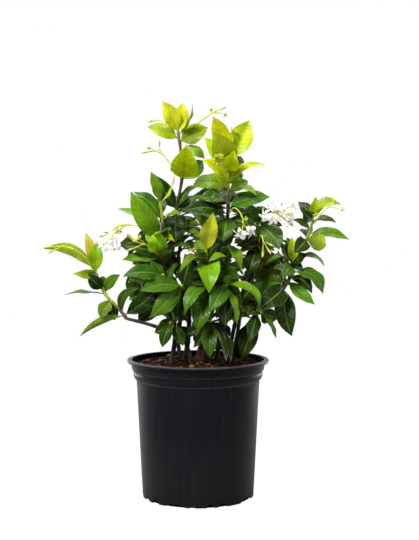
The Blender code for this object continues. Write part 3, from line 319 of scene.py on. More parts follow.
class Path:
    """A line in space that can be read by its length."""

    def __init__(self, points: list[Vector]) -> None:
        """Measure the line.

        Args:
            points: the line's points in order.
        """
        self.points = points
        self.marks = [0.0]
        for a, b in zip(points, points[1:]):
            self.marks.append(self.marks[-1] + (b - a).length)
        self.length = self.marks[-1]

    def at(self, distance: float) -> Vector:
        """The point at a distance along the line.

        Args:
            distance: how far along, held between the line's ends.

        Returns:
            The point there.
        """
        distance = min(max(distance, 0.0), self.length)
        for a, b, start, end in zip(self.points, self.points[1:], self.marks, self.marks[1:]):
            if distance <= end:
                return a.lerp(b, (distance - start) / max(end - start, 1e-6))
        return self.points[-1].copy()

    def heading(self, distance: float) -> Vector:
        """The direction of growth at a distance along the line."""
        reach = SIZES.heading_reach
        return (self.at(distance + reach) - self.at(distance - reach)).normalized()

    def cut(self, start: float, end: float, step: float = SIZES.step) -> Path:
        """The piece from one distance to another, in even steps.

        Args:
            start: where the piece starts.
            end: where it ends.
            step: about how long each of its steps is.

        Returns:
            The piece.
        """
        count = max(2, round((end - start) / step))
        return Path([self.at(start + (end - start) * i / count) for i in range(count + 1)])

    def part(self, start: float, end: float) -> Path:
        """The piece from one distance to another, with the line's own points.

        Args:
            start: where the piece starts.
            end: where it ends.

        Returns:
            The piece.
        """
        inner = [point for point, mark in zip(self.points, self.marks) if start < mark < end]
        return Path([self.at(start), *inner, self.at(end)])

    def height_mark(self, height: float) -> float:
        """How far along the line first rises to a height.

        Args:
            height: the height in millimetres.

        Returns:
            The distance along, or the whole length if it never does.
        """
        for a, b, start, end in zip(self.points, self.points[1:], self.marks, self.marks[1:]):
            if a.z < height <= b.z:
                return start + (end - start) * (height - a.z) / (b.z - a.z)
        return self.length


@dataclass
class Blade:
    """A leaf in space: its root, tip, upper side, width, arch and tone, and whether it is one that the
    front view shows, with a fold along its rib, or one by rule. The looks may give it another facing,
    and a shade that makes its tone lighter or darker, in good part as painted light and painted shade."""

    root: Vector
    tip: Vector
    upper: Vector
    width: float
    arch: float
    tone: Tone
    folded: bool = True
    facing: Vector | None = None
    shade: float = 1.0

    @property
    def length(self) -> float:
        """How far the tip is from the root."""
        return (self.tip - self.root).length

    def frame(self, share: float) -> tuple[Vector, Vector, Vector]:
        """The middle line at a share of the length.

        Args:
            share: from 0 at the root to 1 at the tip.

        Returns:
            The point, and the directions across and up from the blade there.
        """
        run = self.tip - self.root
        upper = (self.upper - run * self.upper.dot(run) / run.length_squared).normalized()
        bow = (self.root + self.tip) / 2 + upper * (2 * self.arch * run.length)
        point = self.root * (1 - share) ** 2 + bow * (2 * share * (1 - share)) + self.tip * share**2
        along = ((bow - self.root) * (1 - share) + (self.tip - bow) * share).normalized()
        upper = upper if self.facing is None else self.facing
        upper = (upper - along * upper.dot(along)).normalized()
        return point, along.cross(upper), upper

    def shape(self, grown: float = 0.0, outer: bool = False) -> Shape:
        """The frame's plain form of the blade, which the plan keeps clear of its neighbours.

        Args:
            grown: how much bigger it is all round.
            outer: whether its root is left out.

        Returns:
            Its vertices and triangles.
        """
        fine = self.folded and self.width >= SIZES.fine_width
        rows = [] if outer else [(0.0, SIZES.root_width / 2 + grown, SIZES.root_thickness / 2 + grown)]
        for share, wide in SIZES.fine_stations if fine else SIZES.plain_stations:
            rows.append((share, wide * self.width / 2 + grown, SIZES.rib_thickness / 2 + grown))
        vertices = []
        for share, half, thick in rows:
            point, across, upper = self.frame(share)
            lift = upper * (SIZES.fold * half if share > 0.0 else 0.0)
            vertices += [point - across * half + lift, point - upper * thick, point + across * half + lift]
            if self.folded:
                vertices.append(point + upper * thick)
        end, before = self.frame(1.0)[0], self.frame(0.95)[0]
        vertices.append(end + (end - before).normalized() * grown)
        sides = 4 if self.folded else 3
        faces: list[tuple[int, ...]] = []
        for row in range(len(rows) - 1):
            here, there = row * sides, row * sides + sides
            for side in range(sides):
                a, b = here + side, here + (side + 1) % sides
                c, d = there + side, there + (side + 1) % sides
                faces += [(a, c, d), (a, d, b)] if side in (1, 2) else [(a, c, b), (b, c, d)]
        last, tip = (len(rows) - 1) * sides, len(vertices) - 1
        faces += [(last + side, tip, last + (side + 1) % sides) for side in range(sides)]
        faces.append((0, 1, 2))
        if self.folded:
            faces.append((0, 2, 3))
        return vertices, faces


def ring(middle: Vector, axis: Vector, across: Vector, radius: float, sides: int) -> list[Vector]:
    """The points of a ring round an axis.

    Args:
        middle: the ring's centre.
        axis: its axis.
        across: where its first point lies.
        radius: its radius.
        sides: how many points it has.

    Returns:
        The points.
    """
    other = axis.cross(across)
    turns = (math.tau * side / sides for side in range(sides))
    return [middle + (across * math.cos(turn) + other * math.sin(turn)) * radius for turn in turns]


def sleeve(start: int, sides: int) -> list[tuple[int, ...]]:
    """The triangles between a ring of vertices and the next.

    Args:
        start: the first vertex of the ring.
        sides: how many vertices a ring has.

    Returns:
        The triangles.
    """
    faces: list[tuple[int, ...]] = []
    for side in range(sides):
        a, b = start + side, start + (side + 1) % sides
        faces += [(a, b, b + sides), (a, b + sides, a + sides)]
    return faces


def tube_shape(path: Path, start_radius: float, end_radius: float, sides: int = 6) -> Shape:
    """The vertices and triangles of a closed tube, as the plan keeps it clear of its neighbours.

    Args:
        path: the middle line.
        start_radius: its radius at the start.
        end_radius: its radius at the end.
        sides: how many sides it has.

    Returns:
        Its vertices and triangles.
    """
    vertices: list[Vector] = []
    across = path.heading(0.0).orthogonal().normalized()
    for point, mark in zip(path.points, path.marks):
        heading = path.heading(mark)
        across = (across - heading * across.dot(heading)).normalized()
        radius = start_radius + (end_radius - start_radius) * mark / path.length
        vertices += ring(point, heading, across, radius, sides)
    faces = [face for row in range(len(path.points) - 1) for face in sleeve(row * sides, sides)]
    last = len(vertices) - sides
    for side in range(1, sides - 1):
        faces += [(0, side + 1, side), (last, last + side, last + side + 1)]
    return vertices, faces


class Thicket:
    """What is already in place, and the test that a new piece is clear of it."""

    def __init__(self) -> None:
        """Start with nothing in place."""
        self.trees: list[BVHTree] = []
        self.owners: list[str] = []
        self.lows: list[np.ndarray] = []
        self.highs: list[np.ndarray] = []

    def add(self, owner: str, vertices: list[Vector], faces: list[tuple[int, ...]]) -> None:
        """Keep a placed piece.

        Args:
            owner: the node that it belongs to.
            vertices: its vertices.
            faces: its triangles.
        """
        self.trees.append(BVHTree.FromPolygons(vertices, faces))
        self.owners.append(owner)
        box = np.array([tuple(v) for v in vertices])
        self.lows.append(box.min(axis=0))
        self.highs.append(box.max(axis=0))

    def crossed(self, vertices: list[Vector], faces: list[tuple[int, ...]],
                owner: str | None = None, own: bool = False) -> bool:
        """Whether a shape crosses a piece of any other owner, or only of its own.

        Args:
            vertices: the shape's vertices.
            faces: the shape's triangles.
            owner: the node that the shape belongs to.
            own: whether only that node's pieces are tested.

        Returns:
            True if it crosses one.
        """
        box = np.array([tuple(v) for v in vertices])
        low, high = box.min(axis=0), box.max(axis=0)
        near = np.all((np.array(self.lows) <= high) & (np.array(self.highs) >= low), axis=1)
        tree = None
        for index in np.nonzero(near)[0]:
            if (self.owners[index] == owner) != own:
                continue
            tree = tree or BVHTree.FromPolygons(vertices, faces)
            if tree.overlap(self.trees[index]):
                return True
        return False


def fits(blade: Blade, owner: str, thicket: Thicket) -> bool:
    """Whether a blade is clear of all other pieces, and its outer part of its own shoot.

    Args:
        blade: the blade.
        owner: the node that bears it.
        thicket: what is in place.

    Returns:
        True if it is clear.
    """
    if thicket.crossed(*blade.shape(SIZES.clearance), owner):
        return False
    return not thicket.crossed(*blade.shape(SIZES.clearance, outer=True), owner, own=True)


def depth_bends(blade: Blade) -> Iterator[Blade]:
    """A blade as planned, then with its tip nearer or further, then turned a little about its root.

    Args:
        blade: the planned blade.

    Yields:
        Each bend of it in turn.
    """
    yield blade
    across, up = shown(blade.tip)
    for shift in RULE.depth_shifts:
        yield replace(blade, tip=seen(across, up, blade.tip.y + shift))
    for turn in RULE.turns:
        for shift in RULE.turned_shifts:
            run = seen(across, up, blade.tip.y + shift) - blade.root
            run.rotate(Matrix.Rotation(math.radians(turn), 3, "Y"))
            yield replace(blade, tip=blade.root + run)


def cone_bends(blade: Blade, heading: Vector) -> Iterator[Blade]:
    """A blade as planned, then turned about its root by more and more.

    Args:
        blade: the planned blade.
        heading: the direction of growth of its shoot.

    Yields:
        Each bend of it in turn.
    """
    yield blade
    for tilt in RULE.cone_tilts:
        for step in range(RULE.cone_steps):
            run = blade.tip - blade.root
            axis = run.cross(heading).normalized()
            run.rotate(Matrix.Rotation(math.radians(tilt), 3, axis))
            around = (blade.tip - blade.root).normalized()
            run.rotate(Matrix.Rotation(math.tau * step / RULE.cone_steps, 3, around))
            yield replace(blade, tip=blade.root + run)


def in_crown(point: Vector) -> bool:
    """Whether the front view shows a point within the dense crown."""
    across, up = shown(point)
    right = (across - SIZES.crown_centre[0]) / SIZES.crown_reach[0]
    high = (up - SIZES.crown_centre[1]) / SIZES.crown_reach[1]
    return right**2 + high**2 <= 1.0


STEMS = (
    Stem("stem_left", ((-41, 186, -18), (-40, 200, -18), (-36, 224, -20), (-33, 244, -22), (-27, 263, -24),
                       (-26, 281, -26), (-30, 300, -29), (-38, 320, -33), (-48, 341, -38)), 3.9, 2.4),
    Stem("stem_centre", ((-2, 184, -20), (0, 200, -20), (4, 221, -19), (10, 239, -18), (15, 259, -17),
                         (18, 281, -16), (17, 304, -15), (15, 326, -14)), 6.2, 3.6),
    Stem("stem_left_leader", ((-20, 188, 14), (-19, 206, 13), (-14, 250, 9), (-15, 296, 2), (-27, 333, -4),
                              (-39, 371, -9)), 4.2, 2.5),
    Stem("stem_right_leader", ((26, 188, 14), (27, 204, 13), (33, 236, 11), (35, 266, 9), (29, 303, 6),
                               (24, 333, 2), (27, 353, -3)), 4.4, 2.6),
    Stem("stem_far_left", ((-9, 186, -38), (-10, 202, -38), (-18, 231, -39), (-33, 245, -41), (-50, 251, -44),
                           (-62, 256, -46), (-75, 260, -46), (-90, 260, -44), (-104, 267, -40)), 3.0, 2.3),
    Stem("stem_right", ((52, 184, -16), (53, 200, -16), (60, 228, -18), (75, 258, -20), (99, 288, -22),
                        (122, 307, -23)), 3.9, 2.5),
    Stem("stem_right_back", ((45, 188, 24), (46, 206, 23), (52, 243, 19), (63, 288, 12), (80, 333, 2),
                             (88, 362, -6)), 3.6, 2.4),
    Stem("stem_back_left", ((-26, 190, 38), (-27, 208, 40), (-34, 250, 50), (-44, 292, 58), (-50, 330, 60)),
         3.6, 2.4),
    Stem("stem_back", ((6, 190, 44), (6, 208, 46), (4, 255, 58), (2, 300, 68), (4, 345, 72)), 3.8, 2.4),
    Stem("stem_back_right", ((52, 190, 44), (53, 208, 47), (60, 250, 60), (66, 290, 68), (68, 322, 70)),
         3.4, 2.4),
)

F, FS, SF, S = Face.FRONT, Face.FRONT_SKY, Face.SKY_FRONT, Face.SKY
FL, FR, LF, RT, BK = Face.FRONT_LEFT, Face.FRONT_RIGHT, Face.LEFT, Face.RIGHT, Face.BACK
DARK, MATURE, MID = Tone.DARK, Tone.MATURE, Tone.MID
OLIVE, LIME, YELLOW = Tone.OLIVE, Tone.LIME, Tone.YELLOW
GOLD, OCHRE = Tone.GOLD, Tone.OCHRE

FRONT_SHOOTS = (
    Shoot("shoot_left_leader", "stem_left_leader",
          ((-34, 423, -14), (-30, 446, -17), (-24, 479, -21), (-26, 521, -24), (-30, 549, -26)), (
        Leaf(0.985, (-52, 594), -40, 24, F, 0.06, YELLOW),
        Leaf(0.985, (-22, 591), -30, 24, F, 0.06, YELLOW, shade=0.88),
        Leaf(0.96, (-7, 587), -52, 13, RT, 0.05, OLIVE, FR, 0.9),
        Leaf(0.93, (-76, 556), -34, 20, FS, 0.06, OLIVE, F, 1.1),
        Leaf(0.91, (15, 556), -46, 30, F, 0.10, OLIVE, shade=0.8),
        Leaf(0.84, (12, 509), -34, 20, FS, 0.16, MID),
        Leaf(0.60, (-19, 528), -58, 40, F, 0.05, LIME, shade=1.55),
        Leaf(0.59, (9, 506), -4, 24, F, 0.08, MID),
        Leaf(0.34, (-64, 484), -32, 24, F, 0.06, DARK),
        Leaf(0.33, (4, 470), -12, 20, SF, 0.18, MATURE),
        Leaf(0.30, (-32, 380), -62, 36, F, 0.14, DARK),
        Leaf(0.31, (8, 412), -52, 22, S, 0.16, MID),
        Leaf(0.93, (-24, 557), 26, 20, S, 0.12, MID),
        Leaf(0.62, (-28, 505), 32, 24, S, 0.14, MATURE),
        Leaf(0.35, (-38, 452), 34, 24, S, 0.14, MATURE),
        Leaf(0.32, (-14, 440), 38, 24, S, 0.12, DARK),
    ), fill=(0.06, 0.14, 0.22), split=0.95),
    Shoot("shoot_mid_left", "stem_left",
          ((-60, 366, -50), (-55, 384, -56), (-53, 413, -62), (-57, 444, -66)), (
        Leaf(0.98, (-70, 489), -76, 20, FR, 0.06, MID),
        Leaf(0.97, (-34, 486), -80, 12, RT, 0.06, LIME),
        Leaf(0.72, (-98, 459), -58, 24, SF, 0.16, MATURE, FS),
        Leaf(0.45, (-104, 458), -96, 34, F, 0.08, MID, wide=0.88),
        Leaf(0.66, (-121, 434), -44, 14, S, 0.06, MID, FS),
        Leaf(0.26, (-72, 400), -106, 32, F, 0.18, MID, wide=0.95, shade=2.7),
        Leaf(0.25, (-118, 378), -66, 24, FS, 0.10, DARK),
        Leaf(0.20, (-114, 356), -72, 20, FS, 0.08, MID),
        Leaf(0.12, (-97, 347), -50, 20, FS, 0.08, DARK),
        Leaf(0.14, (-40, 373), -92, 24, SF, 0.12, DARK),
        Leaf(0.80, (-62, 448), -12, 20, S, 0.14, MATURE),
    ), fill=(0.05, 0.32, 0.5)),
    Shoot("shoot_low_left", "stem_left", ((-42, 312, -52), (-53, 334, -76)), (
        Leaf(0.95, (-114, 334), -96, 28, FS, 0.10, MATURE),
        Leaf(0.55, (-109, 337), -40, 24, FS, 0.06, DARK),
        Leaf(0.60, (-60, 300), -84, 24, F, 0.10, DARK),
    ), height=300.0),
    Shoot("shoot_heart_left", "stem_left_leader", ((-19, 310, -34), (-25, 318, -66)), (
        Leaf(0.97, (-88, 311), -100, 27, FS, 0.10, MATURE, shade=1.5),
        Leaf(0.95, (-72, 268), -104, 27, F, 0.06, MATURE, shade=1.6),
        Leaf(0.88, (-12, 359), -70, 24, F, 0.05, DARK),
        Leaf(0.60, (-33, 268), -62, 24, F, 0.06, DARK),
    ), height=296.0),
    Shoot("shoot_far_left", "stem_far_left",
          ((-114, 278, -36), (-123, 287, -33), (-131, 297, -31), (-139, 304, -29), (-146, 318, -27),
           (-151, 330, -25), (-155, 341, -23)), (
        Leaf(0.09, (-178, 240), -44, 13, SF, 0.12, MID, BK, 0.9, 0.9),
        Leaf(0.13, (-86, 314), -66, 22, LF, 0.24, MATURE, F, 0.6),
        Leaf(0.10, (-60, 308), -14, 26, F, 0.06, DARK),
        Leaf(0.42, (-146, 267), -58, 22, FL, 0.10, MID, F, 0.9, 0.6),
        Leaf(0.57, (-201, 305), -40, 24, FS, 0.08, MATURE, S, 0.8),
        Leaf(0.66, (-166, 335), -50, 20, F, 0.08, DARK),
        Leaf(0.62, (-146, 334), 4, 20, F, 0.06, DARK),
        Leaf(0.60, (-117, 334), -40, 18, LF, 0.08, MID, F, 0.9, 0.7),
        Leaf(0.98, (-231, 374), -34, 24, SF, 0.20, OLIVE, BK, 0.8),
        Leaf(0.97, (-169, 398), -12, 17, FR, 0.05, OCHRE, F, 1.0),
        Leaf(0.95, (-151, 384), -48, 21, F, 0.08, MID),
        Leaf(0.93, (-188, 335), -60, 16, F, 0.14, OLIVE, wide=0.9, shade=0.8),
        Leaf(0.94, (-160, 362), 22, 18, S, 0.12, MID),
        Leaf(0.58, (-134, 318), 28, 20, S, 0.14, DARK),
    )),
    Shoot("shoot_centre", "stem_centre", ((14, 336, -26), (13, 344, -38), (12, 370, -58)), (
        Leaf(0.98, (24, 427), -76, 25, F, 0.05, GOLD),
        Leaf(0.96, (-16, 369), -72, 14, S, 0.10, OCHRE),
        Leaf(0.90, (-4, 386), -42, 18, F, 0.06, MID),
        Leaf(0.55, (-31, 341), -88, 20, SF, 0.22, MID, shade=0.8),
        Leaf(0.50, (18, 306), -104, 34, F, 0.26, MID, shade=1.35),
        Leaf(0.45, (67, 330), -50, 26, FS, 0.10, MATURE),
        Leaf(0.60, (42, 363), -80, 15, FS, 0.10, MID),
    )),
    Shoot("shoot_low_centre", "stem_centre", ((15, 308, -46), (14, 317, -72)), (
        Leaf(0.96, (-20, 275), -104, 24, SF, 0.22, MATURE, shade=1.7),
        Leaf(0.75, (0, 247), -96, 30, F, 0.08, MATURE),
        Leaf(0.60, (-14, 290), -56, 26, F, 0.08, DARK),
    ), height=298.0),
    Shoot("shoot_low_right", "stem_right_leader", ((36, 311, -28), (43, 319, -64)), (
        Leaf(0.97, (17, 277), -98, 25, F, 0.14, MATURE, shade=1.6),
        Leaf(0.95, (101, 287), -92, 20, SF, 0.18, MID),
        Leaf(0.88, (59, 259), -90, 16, FR, 0.08, MID),
        Leaf(0.75, (36, 258), -66, 24, BK, 0.08, MATURE),
    ), height=300.0),
    Shoot("shoot_right_leader", "stem_right_leader",
          ((30, 371, -14), (38, 389, -25), (42, 404, -33), (45, 427, -41), (45, 450, -46), (45, 467, -49),
           (46, 488, -51), (45, 509, -53)), (
        Leaf(0.985, (24, 572), -66, 23, F, 0.05, LIME, wide=1.2, shade=0.85),
        Leaf(0.985, (78, 565), -66, 29, F, 0.06, LIME, wide=1.2),
        Leaf(0.93, (24, 549), -88, 28, F, 0.08, OLIVE, wide=1.35, shade=1.9),
        Leaf(0.88, (54, 520), -82, 21, F, 0.06, LIME, wide=1.2, shade=1.7),
        Leaf(0.84, (57, 527), -100, 9, RT, 0.04, OCHRE, FR),
        Leaf(0.85, (65, 512), -44, 18, F, 0.06, MATURE, wide=1.4),
        Leaf(0.76, (101, 500), -62, 18, SF, 0.20, LIME, FS, 0.72, 1.1),
        Leaf(0.76, (7, 506), -78, 18, SF, 0.10, LIME, FS, 1.2, 1.1),
        Leaf(0.72, (-9, 476), -64, 26, SF, 0.18, MID, FS, 1.1, 0.75),
        Leaf(0.74, (23, 487), -82, 10, F, 0.06, LIME),
        Leaf(0.70, (75, 475), -24, 18, F, 0.08, MID),
        Leaf(0.69, (92, 456), -76, 20, SF, 0.14, MID),
        Leaf(0.58, (108, 452), -62, 27, FS, 0.08, MATURE, shade=2.0),
        Leaf(0.59, (0, 452), -70, 26, FS, 0.10, MATURE),
        Leaf(0.50, (-26, 430), -76, 28, FS, 0.14, DARK),
        Leaf(0.48, (37, 384), -88, 31, F, 0.08, MATURE),
        Leaf(0.46, (90, 405), -62, 26, FS, 0.08, DARK),
        Leaf(0.14, (66, 337), -66, 20, S, 0.26, MID),
        Leaf(0.97, (52, 545), -12, 20, S, 0.12, MID),
        Leaf(0.85, (40, 522), 0, 20, S, 0.12, MID),
        Leaf(0.72, (52, 492), 6, 24, S, 0.14, MATURE),
        Leaf(0.59, (38, 462), 12, 24, S, 0.14, MATURE),
        Leaf(0.57, (62, 458), 12, 24, S, 0.12, DARK),
    ), fill=(0.08, 0.18, 0.28, 0.38), split=0.73),
    Shoot("shoot_right_back", "stem_right_back", ((90, 379, -12), (89, 414, -22)), (
        Leaf(0.97, (67, 442), -42, 24, F, 0.06, MATURE),
        Leaf(0.97, (111, 433), -36, 20, F, 0.06, DARK),
        Leaf(0.88, (123, 372), -60, 27, FR, 0.08, MATURE, FS, 1.2),
        Leaf(0.55, (66, 375), -58, 24, FS, 0.08, DARK),
        Leaf(0.30, (75, 333), -42, 24, FS, 0.08, DARK),
    ), fill=(0.15, 0.4, 0.65, 0.9)),
    Shoot("shoot_far_right", "stem_right",
          ((128, 312, -24), (139, 330, -25), (141, 350, -25), (153, 371, -24), (165, 390, -22),
           (169, 404, -20), (172, 419, -18)), (
        Leaf(0.985, (176, 451), -38, 17, F, 0.05, LIME, wide=0.95),
        Leaf(0.96, (149, 443), -24, 18, SF, 0.18, DARK, FS),
        Leaf(0.97, (156, 430), -52, 19, F, 0.08, DARK),
        Leaf(0.985, (216, 440), -26, 14, S, 0.24, OLIVE, FS, 1.25),
        Leaf(0.95, (208, 412), -38, 17, SF, 0.20, DARK),
        Leaf(0.86, (142, 417), -28, 10, SF, 0.10, MATURE, FS, 1.2),
        Leaf(0.80, (227, 386), -34, 18, SF, 0.12, MID, FS, 1.0, 0.8),
        Leaf(0.72, (193, 378), -44, 28, BK, 0.08, OLIVE),
        Leaf(0.73, (145, 368), -56, 23, F, 0.08, DARK),
        Leaf(0.40, (141, 391), -52, 12, F, 0.04, LIME, wide=1.3, shade=1.5),
        Leaf(0.41, (155, 394), -46, 9, FL, 0.05, GOLD, F, 1.5, 1.2),
        Leaf(0.37, (133, 392), 0, 16, F, 0.05, DARK),
        Leaf(0.37, (165, 364), -48, 13, SF, 0.08, DARK, FS, 1.3),
        Leaf(0.42, (193, 348), -34, 16, S, 0.24, MATURE, SF, 1.3, 1.8),
        Leaf(0.38, (103, 353), -60, 18, SF, 0.20, MATURE, shade=1.9),
        Leaf(0.35, (127, 331), -74, 22, F, 0.12, MATURE, shade=1.4),
        Leaf(0.29, (192, 305), -50, 25, SF, 0.22, MATURE, wide=1.15, shade=1.7),
        Leaf(0.21, (172, 305), -42, 14, SF, 0.20, DARK, FS, 1.3),
        Leaf(0.17, (176, 288), -50, 19, F, 0.10, MATURE, shade=1.9),
        Leaf(0.10, (88, 280), -78, 33, F, 0.10, DARK),
        Leaf(0.09, (141, 239), -56, 24, FL, 0.08, DARK, F, 1.3),
        Leaf(0.15, (98, 322), -10, 24, F, 0.06, MATURE),
        Leaf(0.96, (180, 436), 22, 16, S, 0.12, MATURE),
        Leaf(0.74, (160, 402), 26, 20, S, 0.12, DARK),
        Leaf(0.38, (150, 372), 24, 20, S, 0.12, DARK),
    ), fill=(0.05, 0.2)),
    Shoot("shoot_right_foot", "stem_right", ((88, 274, -40), (96, 278, -56)), (
        Leaf(0.95, (118, 237), -70, 11, FR, 0.10, MATURE),
        Leaf(0.80, (110, 268), -40, 24, F, 0.06, DARK),
        Leaf(0.60, (77, 232), -76, 25, F, 0.08, DARK, wide=0.8),
    ), height=262.0),
    Shoot("shoot_centre_foot", "stem_centre", ((16, 262, -36), (18, 264, -60)), (
        Leaf(0.95, (19, 207), -84, 22, F, 0.06, MATURE),
        Leaf(0.80, (-7, 223), -62, 16, F, 0.06, DARK),
        Leaf(0.60, (44, 214), -48, 22, F, 0.06, DARK),
    ), height=252.0),
    Shoot("shoot_left_foot", "stem_left", ((-36, 256, -36), (-42, 262, -52)), (
        Leaf(0.95, (-55, 224), -62, 22, F, 0.12, MATURE, wide=0.85, shade=0.7),
        Leaf(0.80, (-66, 246), -40, 15, F, 0.08, DARK, wide=1.25),
        Leaf(0.70, (-46, 250), -64, 9, F, 0.12, OCHRE),
        Leaf(0.60, (-22, 226), -46, 18, F, 0.08, MATURE),
    ), height=240.0),
)

# The colour slots of the leafy shoots, but for those in the slot of the dark leaves
SLOTS = {
    "leaf_mature": ("shoot_back_a", "shoot_back_c", "shoot_back_right_a", "shoot_back_right_b",
                    "shoot_far_left", "shoot_inner_a", "shoot_inner_b", "shoot_inner_d", "shoot_inner_f",
                    "shoot_inner_i", "shoot_left_foot", "shoot_mid_left", "shoot_right_foot"),
    "leaf_mid": ("shoot_back_left_c", "shoot_centre", "shoot_low_right", "shoot_right_leader"),
    "leaf_yellow": ("shoot_left_leader_top",),
    "leaf_lime": ("shoot_right_leader_top",),
}

# Further leaves that only the looks have. A shade below one darkens a leaf as painted shade, mostly low
# in the crown, and a shade above one lightens it as painted light.
MORE_LEAVES = {
    "shoot_right_foot": (
        Leaf(0.15, (70, 210), -34, 22, F, 0.08, DARK, shade=0.7),
        Leaf(0.30, (64, 204), -48, 26, F, 0.08, DARK, shade=0.7),
        Leaf(0.10, (56, 203), -24, 28, F, 0.08, DARK, shade=0.6),
        Leaf(0.85, (120, 266), -46, 22, F, 0.08, DARK),
    ),
    "shoot_centre_foot": (
        Leaf(0.40, (52, 204), -62, 26, FR, 0.08, DARK, shade=0.65),
        Leaf(0.90, (43, 203), -74, 24, FR, 0.08, DARK, shade=0.65),
        Leaf(0.30, (32, 216), -40, 20, F, 0.10, DARK, shade=0.65),
        Leaf(0.55, (-12, 254), -32, 24, F, 0.08, DARK, shade=0.6),
        Leaf(0.25, (-4, 224), -26, 22, F, 0.08, DARK, shade=0.6),
        Leaf(0.50, (52, 238), -44, 20, F, 0.08, DARK, shade=0.65),
        Leaf(0.45, (-21, 242), -50, 18, F, 0.08, DARK, shade=0.65),
    ),
    "shoot_left_foot": (
        Leaf(0.50, (-8, 234), -44, 22, F, 0.08, DARK),
        Leaf(0.35, (-62, 258), -34, 22, F, 0.08, DARK, shade=0.7),
    ),
    "shoot_low_right": (
        Leaf(0.50, (62, 272), -74, 26, FS, 0.10, DARK, shade=0.65),
        Leaf(0.30, (28, 284), -66, 24, F, 0.08, DARK, shade=0.65),
        Leaf(0.80, (47, 254), -54, 22, F, 0.08, DARK, shade=0.7),
    ),
    "shoot_low_left": (
        Leaf(0.40, (-84, 296), -70, 22, F, 0.08, DARK, shade=0.65),
        Leaf(0.25, (-66, 286), -50, 22, F, 0.08, DARK, shade=0.65),
    ),
    "shoot_inner_g": (
        Leaf(0.70, (-92, 263), -24, 26, F, 0.08, DARK, shade=0.65),
    ),
    "shoot_left_leader": (
        Leaf(0.31, (0, 453), 4, 24, FS, 0.12, MATURE),
    ),
    "shoot_inner_h": (
        Leaf(0.60, (-20, 368), 0, 28, F, 0.08, DARK),
    ),
    "shoot_mid_left": (
        Leaf(0.55, (-35, 385), -98, 10, F, 0.06, LIME, wide=0.9, shade=0.6),
        Leaf(0.60, (-40, 425), -30, 22, F, 0.08, DARK),
    ),
    "shoot_far_left": (
        Leaf(0.50, (-125, 264), -44, 20, F, 0.08, DARK),
    ),
    "shoot_right_leader": (
        Leaf(0.76, (58, 496), -40, 28, F, 0.06, MID),
        Leaf(0.70, (14, 466), -46, 26, FS, 0.10, MID),
        Leaf(0.55, (84, 434), -48, 28, FS, 0.08, DARK),
        Leaf(0.60, (20, 446), -36, 26, FS, 0.10, MATURE),
        Leaf(0.62, (-14, 452), -40, 26, FS, 0.10, MATURE),
        Leaf(0.90, (10, 540), -62, 24, F, 0.06, OLIVE, shade=1.6),
    ),
    "shoot_right_back": (
        Leaf(0.92, (127, 408), -34, 19, FS, 0.08, DARK),
        Leaf(0.70, (118, 398), -28, 24, FS, 0.08, DARK),
        Leaf(0.85, (98, 441), -30, 24, FS, 0.10, MATURE),
    ),
    "shoot_far_right": (
        Leaf(0.40, (158, 342), -38, 13, F, 0.06, DARK),
    ),
}

BLOOM, CALYX, BUD = Kind.BLOOM, Kind.CALYX, Kind.BUD

